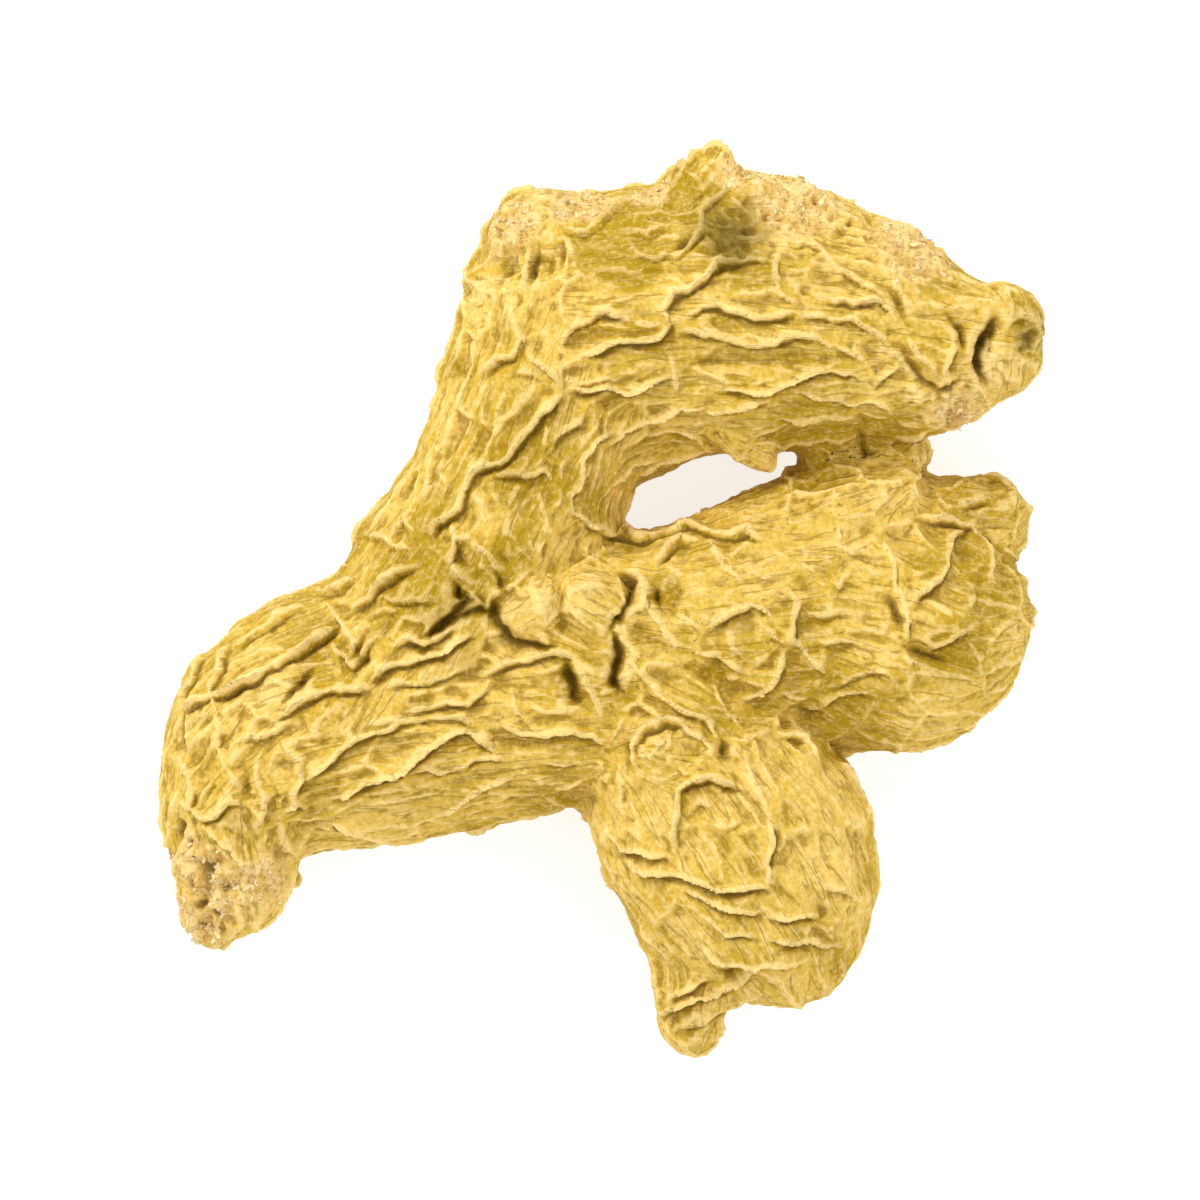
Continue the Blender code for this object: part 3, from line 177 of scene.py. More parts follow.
# Folds that stand out most on the side turned up: share of the full height, and their line in plan.
FOLDS = (
    (0.8, ((-3.1, 17.8), (-2.3, 19.1), (-0.9, 20.2), (0.4, 20.9), (1.6, 20.7), (2.9, 20))),
    (1.0, ((-5.8, 17.6), (-4.7, 16.4), (-3.6, 15.5), (-2.9, 14.4))),
    (0.9, ((-2.9, 14.4), (-0.9, 14.4), (0.5, 14.8), (2.2, 14.6), (3.6, 14.8), (5, 15.3), (6.1, 15.7))),
    (0.7, ((-2.9, 14.8), (-1.1, 15.1), (0.5, 15.5), (1.6, 16))),
    (1.0, ((-2.9, 14.2), (-4, 13), (-5, 11.7), (-6.3, 10.3))),
    (1.0, (
        (-1.3, 17.1), (0.4, 17.8), (1.8, 18.4), (3.6, 18.5), (5, 18.7), (5.8, 19.8), (5.6, 21.1),
        (6.5, 22.3), (7.9, 23), (9, 23.8), (9.9, 24.7), (11.3, 25.2), (13, 25.2), (14.6, 25),
    )),
    (1.0, (
        (7.6, 20.3), (8.6, 21.1), (10.3, 21.2), (11.7, 20.9), (13, 20.3), (14, 20.2), (15.3, 20.5),
        (16.6, 21.1),
    )),
    (0.7, (
        (6.3, 19.4), (8.5, 19.1), (10.8, 18.5), (12.6, 18.2), (14.8, 18.4), (16.4, 18.9), (17.8, 18.9),
        (18.9, 18.2), (19.8, 16.9),
    )),
    (0.9, ((14.9, 26.1), (14.9, 24.7), (14.9, 23.4), (15.3, 22.1), (16.4, 21.4))),
    (0.8, (
        (9.5, 14.2), (11.7, 14.6), (13.3, 14.2), (14.8, 14.4), (16.2, 15.1), (17.8, 15.7), (19.4, 16),
        (20.9, 15.7), (22.3, 14.8),
    )),
    (0.8, ((9, 13), (7, 13.1), (5.8, 12.4), (3.6, 11.9), (2.2, 11), (0.9, 9.7))),
    (0.6, ((5.4, 18), (6.1, 16.6), (6.5, 14.8), (7, 13.3))),
    (0.5, ((1.4, 27.9), (3.1, 27.5), (4.1, 27.4), (5.2, 27.9), (6.3, 28.1))),
    (0.7, (
        (2.7, 26.6), (3.4, 25.6), (4.9, 25.2), (6.5, 25.6), (7.7, 26.5), (8.6, 27.7), (8.8, 29.2),
        (9.7, 30.2), (11, 31.1),
    )),
    (0.6, ((-3.2, 27.7), (-1.6, 27.5), (0, 27.9), (1.1, 29), (2.2, 30.6))),
    (0.8, ((-5.6, 27.2), (-5.9, 25.6), (-6.1, 23.8), (-5.8, 22.1))),
    (0.6, ((-2.9, 27.4), (-2.5, 25.7), (-2.5, 24.1))),
    (0.7, ((-7.2, 21.6), (-6.8, 20.2), (-6.3, 18.5), (-6.8, 17.1), (-8.3, 16.7), (-9.5, 15.5))),
    (0.5, ((-7.2, 15.7), (-5.6, 15.7), (-4.1, 15.1))),
    (0.8, (
        (15.5, 26.6), (17.1, 26.8), (18.4, 26.3), (19.3, 25.2), (20.2, 24.1), (21.6, 23.4), (22.9, 22.5),
        (23.9, 21.6),
    )),
    (0.9, ((18.2, 22.1), (19.8, 21.8), (21.6, 21.6), (23, 21.8), (24.1, 21.1), (24.8, 19.8))),
    (0.7, ((16.4, 20.7), (18, 20.5), (19.8, 20.3), (21.2, 20.3), (22.3, 19.6), (23.4, 18.7), (24.7, 17.5))),
    (0.8, ((24.1, 24.3), (24.8, 23), (25.7, 21.6), (26.3, 20.2))),
    (0.7, ((25.2, 19.1), (26.5, 17.6), (27.7, 16.4), (28.8, 15.1))),
    (0.6, ((23.4, 18), (25, 16.9), (26.5, 15.7), (27.7, 14.8))),
    (0.6, ((17.1, 18.7), (18.4, 18.5), (19.8, 18), (21.1, 17.3), (22.5, 16.2))),
    (0.6, ((16.4, 14.2), (18, 13.9), (19.8, 13.5), (21.4, 13.1), (22.7, 13.5), (23.9, 13), (24.7, 12.1))),
    (0.6, ((22.3, 14.2), (23.4, 15.1), (24.5, 16), (25.4, 16.6))),
    (0.6, ((25.2, 13.7), (26.6, 14), (28.3, 13.7))),
    (0.7, ((29.3, 19.4), (29.7, 17.8), (29, 16.2), (29.2, 14.8), (28.8, 13))),
    (0.7, ((33.1, 21.2), (32.8, 19.4), (32.2, 17.6), (32.6, 15.7), (33.5, 14.4))),
    (0.7, ((33.9, 19.2), (34.4, 20.3), (35.3, 20.7), (36.1, 20.1), (36.4, 18.9), (36, 17.7), (35, 17.3))),
    (0.5, ((33.3, 21.9), (34.3, 22.6), (35.4, 22.2))),
    (0.5, ((33.2, 16.6), (34, 15.6), (35, 15.6))),
    (0.5, ((11.2, 23.8), (11, 22.3))),
    (0.6, ((9, 12.6), (10.8, 12.8), (12.6, 13.3), (14.4, 13.7))),
    (0.7, ((14.4, 12.2), (16.2, 12.1), (18.2, 12.1), (19.8, 12.2), (21.2, 11.9))),
    (0.6, ((19.8, 27.9), (20.9, 28.8), (22.1, 28.1))),
    (0.6, ((12.6, 32.4), (14, 30.6), (14.6, 28.8), (15.1, 26.6))),
    (1.1, (
        (-3.6, 13.3), (-4.7, 12.1), (-5.8, 10.8), (-6.8, 9.4), (-7.7, 8.5), (-9, 7.9), (-10.3, 7.7),
        (-10.8, 6.3), (-11.3, 5), (-12.2, 4), (-13.3, 3.1), (-14, 2),
    )),
    (0.7, ((-9, 7), (-7.6, 7.4), (-5.9, 7.4), (-4.5, 7.6), (-3.4, 6.7))),
    (0.9, (
        (1.4, 11), (-0.4, 10.1), (-1.3, 8.6), (-1.4, 7.2), (-2.2, 5.8), (-2, 4.3), (-0.7, 3.2), (0.9, 2.7),
    )),
    (0.7, ((-0.7, 12.6), (-2.2, 11.5), (-3.4, 10.3), (-4, 8.8))),
    (0.9, ((-12.2, 3.2), (-11.7, 1.8), (-12.1, 0.4), (-11.5, -0.9), (-10.6, -1.6))),
    (0.8, ((-10.8, 2.3), (-9.7, 1.1), (-8.6, -0.2), (-7.7, -1.4))),
    (0.6, ((-8.1, 4.5), (-7.4, 2.9), (-6.7, 1.4), (-5.4, 0.2))),
    (0.6, ((-14.2, 2.5), (-13.7, 1.3), (-12.6, 0.5))),
    (0.9, ((-14.8, -0.2), (-16.6, -0.7), (-17.8, -1.6), (-18.9, -2.7), (-20.2, -3.6), (-21.2, -4.5))),
    (1.1, ((-22.5, -3.2), (-21.8, -4.3), (-20.9, -5.2), (-20.2, -6.5), (-20.2, -8.1))),
    (0.9, ((-22.1, -6.3), (-21.4, -7.6), (-20.3, -8.5), (-19.4, -7.4), (-18.7, -6.1))),
    (0.6, ((-19.6, 2.3), (-18, 2.2), (-16.9, 1.4), (-15.7, 1.3))),
    (1.0, (
        (-18.7, -9.7), (-17.6, -8.8), (-16.2, -8.3), (-14.6, -7.7), (-13.1, -7.4), (-11.7, -6.5),
        (-9.9, -5.8),
    )),
    (0.8, ((-17.3, -7), (-15.8, -6.3), (-14.4, -6.7), (-13, -5.9), (-11.2, -5))),
    (0.9, ((-9.4, -9.2), (-8.1, -8.6), (-6.7, -8.1), (-5.2, -7.7), (-3.6, -7.4), (-2.2, -7.6))),
    (1.0, ((-2.2, -7.7), (-1.6, -9), (-0.9, -10.3), (-0.2, -11.5), (0.5, -12.8))),
    (0.8, ((-16.6, -12.2), (-14.4, -11.9), (-12.6, -11.5), (-10.8, -11.7), (-9.7, -10.8), (-8.8, -9.5))),
    (0.7, (
        (-19.8, -13.5), (-18, -13.1), (-16.2, -13), (-14.4, -12.8), (-12.8, -12.6), (-11.2, -12.8),
        (-9.7, -13.5),
    )),
    (0.5, ((-14.2, 10.8), (-13.7, 9), (-14, 6.8), (-14.6, 4.5))),
    (0.5, ((-10.4, 6.5), (-9.7, 4.9), (-9.2, 3.2))),
    (0.5, ((-4.9, 6.1), (-4.5, 4.5), (-4, 2.9), (-3.2, 1.6))),
    (0.6, ((-13.1, 8.1), (-12.6, 6.5), (-12.8, 4.7))),
    (0.6, ((-18.7, -2.7), (-16.9, -3.1), (-15.1, -3.2), (-13, -2.9))),
    (0.6, ((-19.6, -4.7), (-18, -3.8), (-16.2, -3.8))),
    (0.6, ((-23.8, -2.2), (-22.3, -2.3), (-21.1, -1.8), (-19.4, -1.1))),
    (0.5, ((-8.1, -4.7), (-7.2, -6.1), (-5.9, -6.7))),
    (1.0, (
        (-34.6, -12.4), (-32.8, -11.3), (-30.8, -10.8), (-28.8, -9.9), (-27, -8.6), (-25.2, -7.7),
        (-23.8, -6.7), (-22.3, -5.6), (-20.9, -5),
    )),
    (0.9, ((-26.5, -13.1), (-25.4, -12.1), (-24.1, -11.2), (-22.5, -10.8), (-20.7, -10.4), (-18.7, -10.3))),
    (0.7, ((-30.1, -14.9), (-28.3, -14.4), (-26.6, -13.9), (-25.2, -13.1))),
    (0.9, (
        (-24.5, -17.8), (-23.4, -17.1), (-22.3, -16.2), (-21.2, -15.3), (-20, -14.4), (-18.5, -13.9),
        (-17.1, -13.7), (-15.7, -12.8),
    )),
    (1.0, (
        (-22, -19.6), (-20.3, -18.7), (-18.7, -18), (-17.1, -17.5), (-15.8, -16.6), (-14.6, -15.7),
        (-13.3, -14.8), (-12.1, -14.2), (-10.8, -13.9), (-9.7, -14.8), (-8.6, -15.5),
    )),
    (0.8, ((-22.7, -20.5), (-22, -21.6), (-20.5, -22), (-18.7, -22.3), (-16.9, -22.9), (-15.1, -23.4))),
    (0.7, (
        (-15.8, -17.3), (-14.2, -16.9), (-13, -17.3), (-11.7, -16.9), (-10.6, -16.4), (-9, -16),
        (-7.2, -16.4),
    )),
    (0.7, ((-13.5, -21.2), (-12.2, -20.5), (-11.2, -19.8), (-10.1, -18.9), (-8.6, -18.2), (-6.8, -18))),
    (0.8, ((-32.6, -7), (-33.1, -8.8), (-33.7, -10.6), (-34.4, -12.2))),
    (0.8, (
        (-30.6, -6.7), (-31.1, -8.5), (-31.9, -10.4), (-31.5, -12.2), (-31.1, -13.9), (-31.5, -15.3),
        (-30.8, -16.7), (-29.9, -18.2), (-29.5, -19.6),
    )),
    (0.8, ((-28.3, -16.6), (-28.1, -18), (-27.4, -19.3), (-27.5, -20.7), (-28.1, -21.8))),
    (0.9, (
        (-26.6, -14.2), (-25.6, -15.1), (-24.7, -16.4), (-24.5, -17.6), (-25.2, -18.7), (-25, -20),
        (-26.1, -20.9),
    )),
    (0.9, (
        (-34.9, -16.2), (-34, -17.5), (-33.5, -18.9), (-33.8, -20.2), (-32.8, -21.4), (-31.5, -20.7),
        (-30.4, -19.8), (-29.2, -20),
    )),
    (0.7, ((-26.6, -21.2), (-26.1, -22.5), (-25.6, -23.8), (-24.7, -24.8))),
    (0.9, ((-33.1, -21.8), (-31.5, -22.9), (-30.4, -24.1), (-29.3, -25.2), (-28.6, -26.3))),
    (0.7, ((-30.4, -6.8), (-29.2, -6.1), (-27.9, -5.4), (-26.6, -4.3), (-25, -3.8), (-23.4, -3.2))),
    (0.7, ((-34.6, -21.2), (-34, -22.7), (-34.6, -24.3), (-33.8, -25.9))),
    (0.6, ((-27, -18), (-26.1, -19.1), (-26.3, -20.5))),
    (0.6, ((-33.8, -13), (-32.4, -12.8), (-31, -12.6))),
    (0.7, ((-17.6, -10.4), (-15.8, -9.9), (-13.9, -9.7), (-11.9, -9.2), (-10.4, -8.3))),
    (0.6, ((-7.2, -10.8), (-6.5, -12.6), (-5.2, -13.9), (-3.6, -14.4))),
    (0.7, ((-8.1, -13.3), (-6.3, -13.9), (-4.1, -14.2), (-2.2, -14), (-0.4, -14.2), (0.9, -15.3))),
    (0.6, ((-5.4, -16.4), (-3.6, -16.6), (-1.8, -16.4), (-0.5, -17.1))),
    (0.5, ((-18.9, -20), (-16.9, -19.6), (-15.1, -19.3), (-13.3, -18.7))),
    (0.9, ((2.2, -0.5), (3.6, -1.1), (4.1, -2.5), (4, -3.8), (5, -5), (6.1, -6.3), (7, -7.6))),
    (0.9, (
        (-0.7, 2.9), (1.8, 2.3), (4.5, 2.2), (6.3, 2.5), (7.6, 2.9), (9, 2.3), (10.8, 2.3), (12.6, 2.5),
        (14, 2),
    )),
    (0.7, ((4.5, -0.2), (5.8, 0.9), (7, 1.6), (8.5, 1.6))),
    (0.7, ((9, 2.2), (9.9, 0.4), (11.2, -1.1), (12.2, -2.2))),
    (0.9, ((9, -5.4), (10.3, -4.7), (11.5, -4), (12.8, -3.4), (14, -4), (14.6, -5))),
    (1.0, ((16, -2.2), (16.6, -3.2), (16.4, -4.7), (16.2, -6.1), (17.1, -7.2), (18, -8.3), (19.1, -9.2))),
    (0.8, ((12.4, -11.2), (13.7, -10.4), (14.6, -9.7), (15.3, -8.5), (15.8, -7))),
    (0.7, ((14.9, -10.4), (16.4, -11), (17.6, -11.2))),
    (0.6, ((8.1, -7.2), (9.5, -7.6), (10.8, -8.1), (12.2, -8.8))),
    (0.9, ((4.1, -9.7), (5.4, -11.2), (6.7, -12.2), (8.1, -12.8), (9.5, -13.9), (10.3, -15.3))),
    (0.8, ((1.8, -6.1), (2.9, -7.6), (3.2, -9), (4.5, -10.1))),
    (1.1, ((23.8, 1.8), (24.5, 0), (24.7, -1.8), (25.4, -3.2), (25.9, -4.7), (25.7, -6.3))),
    (0.9, ((25.9, -3.2), (27, -2.3), (28.3, -1.6), (29, -0.2), (29.3, 1.4), (30.1, 2.7), (31.1, 3.2))),
    (1.0, ((26.6, 4), (28.4, 3.6), (29.9, 3.2), (31.1, 3.2), (31.9, 1.8), (32.6, 0), (32.9, -1.6))),
    (0.8, ((27.7, 6.5), (28.4, 5), (29.5, 4.1))),
    (0.7, ((29.2, 4.3), (30.4, 4.7), (31.7, 5.2), (32.9, 5.2))),
    (0.7, ((31.3, 7), (33.1, 7), (34.4, 5.8), (34.6, 4.1))),
    (0.8, ((33.5, 1.8), (34.6, 0.7), (35.5, -0.5), (36, -1.8))),
    (0.8, ((26.5, -6.1), (27.9, -6.8), (29.3, -6.5), (30.8, -5.4))),
    (0.7, ((19.1, -10.1), (20.3, -9.9), (21.4, -9.2), (22.7, -8.6), (23.9, -8.8), (24.7, -10.1))),
    (0.7, ((17.6, -12.1), (19.1, -11.3), (20.3, -10.8), (21.8, -10.4), (23.4, -10.8))),
    (0.5, ((19.3, -0.9), (20.2, -1.8), (20.9, -0.5))),
    (0.5, ((21.4, -7.2), (22.1, -8.3), (22, -9.5))),
    (0.5, ((17.1, -4.1), (18.5, -4.3), (20.2, -4.1), (21.4, -4.5))),
    (0.5, ((17.1, -6.1), (18.7, -6.7), (20.3, -6.3), (21.8, -6.7))),
    (0.5, ((19.8, 3.2), (20.2, 1.6), (21.2, 1.1), (22.7, 1.3))),
    (0.5, ((12.6, -0.4), (14, -1.3), (15.7, -0.7))),
    (0.4, ((17.1, 1.4), (17.3, -0.2), (18.4, -1.3))),
    (0.6, ((10.8, -5.4), (11.3, -7), (12.4, -8.1))),
    (0.6, ((13.3, -4.5), (14.4, -5.9), (15.7, -6.7))),
    (1.2, (
        (12.4, -16), (12.8, -17.8), (13.5, -19.4), (14.2, -20.9), (14.6, -22.1), (14.4, -23.6),
        (13.9, -24.8), (14.2, -26.1), (14.9, -27.2),
    )),
    (0.9, (
        (6.5, -23.9), (6.8, -22), (6.7, -20.2), (6.8, -18.7), (7.9, -18), (9.2, -17.6), (10.4, -18.2),
        (11.9, -18.4),
    )),
    (0.9, (
        (3.1, -16.7), (3.2, -14.9), (4, -13.7), (5.4, -13.1), (6.8, -13.3), (8.1, -14.2), (9.2, -15.3),
        (9.7, -16.7),
    )),
    (0.8, ((1.8, -16.6), (2.3, -18.2), (2.2, -19.8), (2.7, -21.4))),
    (0.9, ((0.9, -20.9), (1.4, -22.5), (2.3, -23.6), (3.8, -23.6), (5, -23.9), (6.3, -24.5))),
    (1.0, (
        (2.7, -24.3), (4, -25.4), (5.4, -25.7), (6.8, -25.7), (8.1, -26.1), (9.4, -26.6), (10.4, -27.2),
        (11.7, -27), (13.1, -26.8), (14.6, -27),
    )),
    (0.9, (
        (6.8, -26.8), (8.5, -27.4), (9.5, -28.1), (10.8, -28.4), (11.9, -28.4), (13, -28.8), (14, -28.6),
    )),
    (0.9, ((8.6, -28.8), (9.9, -29.7), (10.8, -30.6), (12.1, -30.8), (13.3, -30.8))),
    (0.9, ((14, -29.2), (15.3, -29.3), (17.1, -29.2), (18.5, -29))),
    (0.8, ((13.9, -30.6), (14.9, -31.1), (16.2, -31.5), (17.6, -31.3), (19.1, -31.5), (20.3, -31.9))),
    (1.0, (
        (8.8, -30.8), (9.4, -32), (10.4, -32.8), (11.7, -33.1), (13, -33.3), (14, -32.9), (15.3, -33.3),
        (16.6, -33.1),
    )),
    (0.9, ((14.4, -13.9), (15.8, -14.4), (16.9, -14.8), (17.6, -15.8), (18.2, -17.3))),
    (0.9, ((19.1, -16.4), (20.3, -17.6), (21.4, -19.3), (22.3, -21.1), (22.9, -22.5))),
    (0.8, ((5.8, -36.4), (7.2, -35.5), (8.6, -34.7), (9.9, -34.2))),
    (0.8, ((4.9, -37.8), (7, -36.7), (8.8, -36), (10.4, -35.3), (11.9, -34.6), (12.8, -33.8))),
    (0.7, ((6.3, -38.9), (8.5, -38.3), (10.4, -37.4), (12.1, -36.4), (13.7, -35.8))),
    (0.6, ((17.3, -18.5), (18.2, -20.2), (19.3, -21.6), (20, -23.2))),
    (0.6, ((15.1, -21.1), (15.5, -22.7), (15.1, -24.1))),
    (0.6, ((17.8, -26.1), (19.3, -26.8), (20.7, -27.4), (22.1, -28.3))),
    (0.6, ((0.4, -23.4), (1.4, -25.2), (2.5, -26.6), (3.2, -28.4))),
    (0.6, ((3.6, -29.3), (5, -30.8), (5.9, -32.4), (6.5, -34.2))),
    (0.6, ((10.8, -14.4), (11.3, -15.7), (12.1, -16.4))),
    (0.5, ((7.6, -20.7), (8.3, -20), (9.5, -20.2))),
    (0.5, ((19.8, -23.4), (20.5, -25.2), (20.9, -27))),
    (0.5, ((9, -21.6), (10.8, -21.8), (12.4, -21.4))),
)

# Creases sunk between swellings, written the same way; the material paints shade into them.
CREASES = (
    (1.0, ((1.6, -0.7), (3.1, -1.4), (2.9, -3.1), (2, -4.7), (0.9, -5.8))),
    (0.4, ((-3.2, -1.4), (-2.9, -2.9), (-2.9, -4.5), (-3.2, -5.8))),
    (1.3, ((-11.2, -2), (-10.6, -3.2), (-11.7, -4), (-13, -5), (-14, -5.8))),
    (1.1, ((-8.1, -2.5), (-8.8, -4), (-8.3, -5.4), (-6.8, -6.7), (-5, -6.8), (-3.2, -6.8))),
    (0.9, ((-8.8, -0.4), (-7.9, -1.4), (-7.4, -2.7))),
    (1.2, ((-2.7, -7.7), (-2.3, -9.7), (-1.8, -11), (-0.7, -12.1))),
    (1.2, ((1.6, -5.8), (1.8, -7.7), (1.3, -9.5), (2.2, -11.2))),
    (1.2, ((4.7, -1.3), (4.9, -2.7), (5.4, -3.8))),
    (1.3, ((33.1, 20.9), (32.6, 19.1), (31.7, 17.8), (31.7, 16.2), (32.2, 14.9))),
    (0.7, ((-7.9, 25.9), (-7.7, 24.5), (-8.3, 23))),
    (0.9, ((-5, 26.8), (-5.4, 25), (-5.6, 23))),
    (0.6, ((-4.1, 25.6), (-4, 24.1))),
    (0.9, ((-2.9, 26.8), (-2.9, 25))),
    (0.8, ((-0.9, 20), (-0.2, 20.7))),
    (0.9, ((5.6, 20.2), (5.6, 19.1))),
    (0.8, ((7.7, 29.5), (8.6, 30.6), (9.5, 31.1))),
    (0.9, ((14.9, 20), (15.8, 20.5))),
    (0.8, ((8.1, 27.7), (7.2, 26.6), (5.8, 25.7))),
    (1.0, ((10.1, -14), (10.4, -15.5), (11.3, -16))),
    (0.9, ((2.9, -14.4), (2.5, -16.4))),
    (0.9, ((14.9, -32.2), (16.2, -31.7), (17.6, -32.2))),
    (0.9, ((9.5, -33.7), (10.8, -34), (12.2, -33.8))),
    (1.0, ((18.4, -28.6), (19.3, -29.2))),
    (0.8, ((-20.2, -8.5), (-19.6, -7.6), (-19.8, -6.5))),
    (0.8, ((-18, -10.1), (-18.4, -9.2))),
    (0.9, ((-29.5, -17.3), (-29.2, -18.7), (-29.3, -19.8))),
    (0.8, ((-26.3, -12.1), (-25.4, -10.8), (-24.3, -9.4), (-23.2, -8.5))),
    (0.8, ((24.1, -1.8), (24.5, -3.2), (25, -4.7), (25.2, -5.9))),
    (0.9, ((32.2, 2.2), (32.9, 1.4))),
    (0.8, ((25.2, -6.8), (26.8, -7.4), (28.3, -7.9), (29.2, -8.6))),
    (0.8, ((16.2, -11.9), (17.6, -12.6), (19.1, -12.2))),
    (0.7, ((-15.8, -6.8), (-14.4, -7.2), (-13, -6.8))),
    (0.8, ((-24.1, -22.1), (-22.9, -22.1))),
    (0.8, ((21.6, 10.6), (22.3, 9.4), (23.9, 9.5))),
)

# Small creases between the main ones, written the same way.
FINE_CREASES = (
    (1.2, ((-14.6, -6.2), (-13.2, -5.4), (-11.3, -4.3), (-9.8, -3.9), (-8.3, -4.3))),
    (1.4, ((-11.9, -1.4), (-11.5, -2.6), (-10.6, -3.6))),
    (0.7, ((-10.2, -2.0), (-9.4, -3.4), (-8.6, -4.0))),
    (0.8, ((-8.6, -4.6), (-7.6, -6.3), (-6.4, -6.8), (-5.0, -7.0))),
    (0.6, ((-16.8, -7.0), (-15.4, -6.8), (-13.8, -7.0))),
    (0.7, ((0.6, -9.2), (1.8, -10.4), (2.9, -11.5))),
    (0.5, ((-12.4, 2.2), (-11.4, 0.6), (-9.8, -0.6))),
    (0.5, ((-8.6, 1.6), (-7.6, 0.2), (-7.2, -1.2))),
    (0.6, ((24.3, 23.0), (25.2, 21.6), (25.9, 20.2))),
    (0.6, ((-12.0, 16.8), (-11.0, 16.0), (-10.0, 16.4))),
    (0.7, ((21.6, 12.3), (22.2, 11.2))),
    (0.7, ((25.1, 17.7), (26.2, 16.6), (27.0, 15.4), (28.9, 13.6))),
    (0.8, ((29.2, 21.0), (30.3, 19.2), (30.7, 17.3))),
    (0.8, ((30.3, 15.4), (29.2, 14.7), (27.4, 14.1))),
)

# How much of the relief some limbs keep.
SMOOTHER_LIMBS = {"bud_left": 0.6, "bud_right": 0.6, "nub": 0.9, "torn_scale": 0.5}


class ScarKind(Enum):
    """How a rough place on the skin came about."""

    SCRAPED = "scraped"
    TORN = "torn"
    PIT = "pit"
    DENT = "dent"
    HOLE = "hole"


# What a rough place looks like; a pit or a hole gets painted shade, and a dent keeps the colours around it.
SCAR_MARKS = {
    ScarKind.SCRAPED: "bare",
    ScarKind.TORN: "bare",
    ScarKind.PIT: "pit",
    ScarKind.HOLE: "pit",
}


@dataclass(frozen=True)
class Scar:
    """A rough place on the skin.

    Args:
        place: Its middle, near the flesh's surface.
        radius: How far it reaches.
        roughness: How high its crumbs stand.
        sunk: How deep it lies.
        kind: How it came about.
    """

    place: Point
    radius: float
    roughness: float
    sunk: float
    kind: ScarKind


# The scraped, torn and sunken places that stand out.
SCARS = (
    Scar((-8.0, 28.6, 15.0), 3.2, 0.42, 0.2, ScarKind.SCRAPED),
    Scar((-1.5, 30.0, 13.0), 3.6, 0.42, 0.1, ScarKind.SCRAPED),
    Scar((4.5, 30.6, 13.0), 2.2, 0.42, 0.2, ScarKind.SCRAPED),
    Scar((16.5, 30.0, 13.0), 5.0, 0.42, 0.1, ScarKind.SCRAPED),
    Scar((26.0, 26.4, 14.0), 4.4, 0.42, 0.1, ScarKind.SCRAPED),
    Scar((29.6, 13.0, 14.0), 2.6, 0.8, 0.0, ScarKind.TORN),
    Scar((11.4, 27.4, 17.0), 2.9, 0.55, 0.9, ScarKind.PIT),
    Scar((35.4, 18.7, 15.0), 0.95, 0.5, 0.7, ScarKind.PIT),
    Scar((-32.6, -26.5, 11.0), 4.0, 0.85, 0.1, ScarKind.TORN),
    Scar((-32.7, -29.8, 8.5), 2.4, 0.6, 0.0, ScarKind.TORN),
    Scar((-28.2, -26.2, 11.0), 2.8, 0.4, 0.0, ScarKind.SCRAPED),
    Scar((11.4, 32.4, 14.0), 2.0, 0.3, 0.0, ScarKind.SCRAPED),
    Scar((-8.0, 25.4, 17.0), 1.5, 0.2, 0.8, ScarKind.DENT),
    Scar((-4.3, 25.4, 18.0), 1.7, 0.2, 0.8, ScarKind.DENT),
    Scar((5.6, -15.8, 17.0), 1.7, 0.1, 0.2, ScarKind.DENT),
    Scar((10.0, -9.4, 17.0), 1.3, 0.2, 0.4, ScarKind.DENT),
    Scar((6.1, -2.6, 17.0), 1.5, 0.1, 0.8, ScarKind.DENT),
    Scar((-32.0, -24.9, 11.0), 0.8, 0.0, 1.2, ScarKind.HOLE),
    Scar((-32.5, -28.0, 10.0), 0.6, 0.0, 0.9, ScarKind.HOLE),
    Scar((-33.2, -30.4, 9.0), 0.45, 0.0, 0.7, ScarKind.HOLE),
    Scar((-34.2, -22.3, 11.0), 0.7, 0.0, 1.0, ScarKind.HOLE),
    Scar((-31.6, -29.2, 11.0), 0.4, 0.0, 0.7, ScarKind.HOLE),
    Scar((-34.0, -26.4, 10.0), 0.45, 0.0, 0.7, ScarKind.HOLE),
    Scar((-30.6, -26.9, 11.0), 0.35, 0.0, 0.5, ScarKind.HOLE),
)


@dataclass(frozen=True)
class Tint:
    """A place where the skin is painted darker or paler than around it, a darker one partly as painted shade.

    Args:
        place: Its middle in plan.
        radius: How far it reaches.
        share: How pale it is, or how dark if below zero.
    """

    place: tuple[float, float]
    radius: float
    share: float
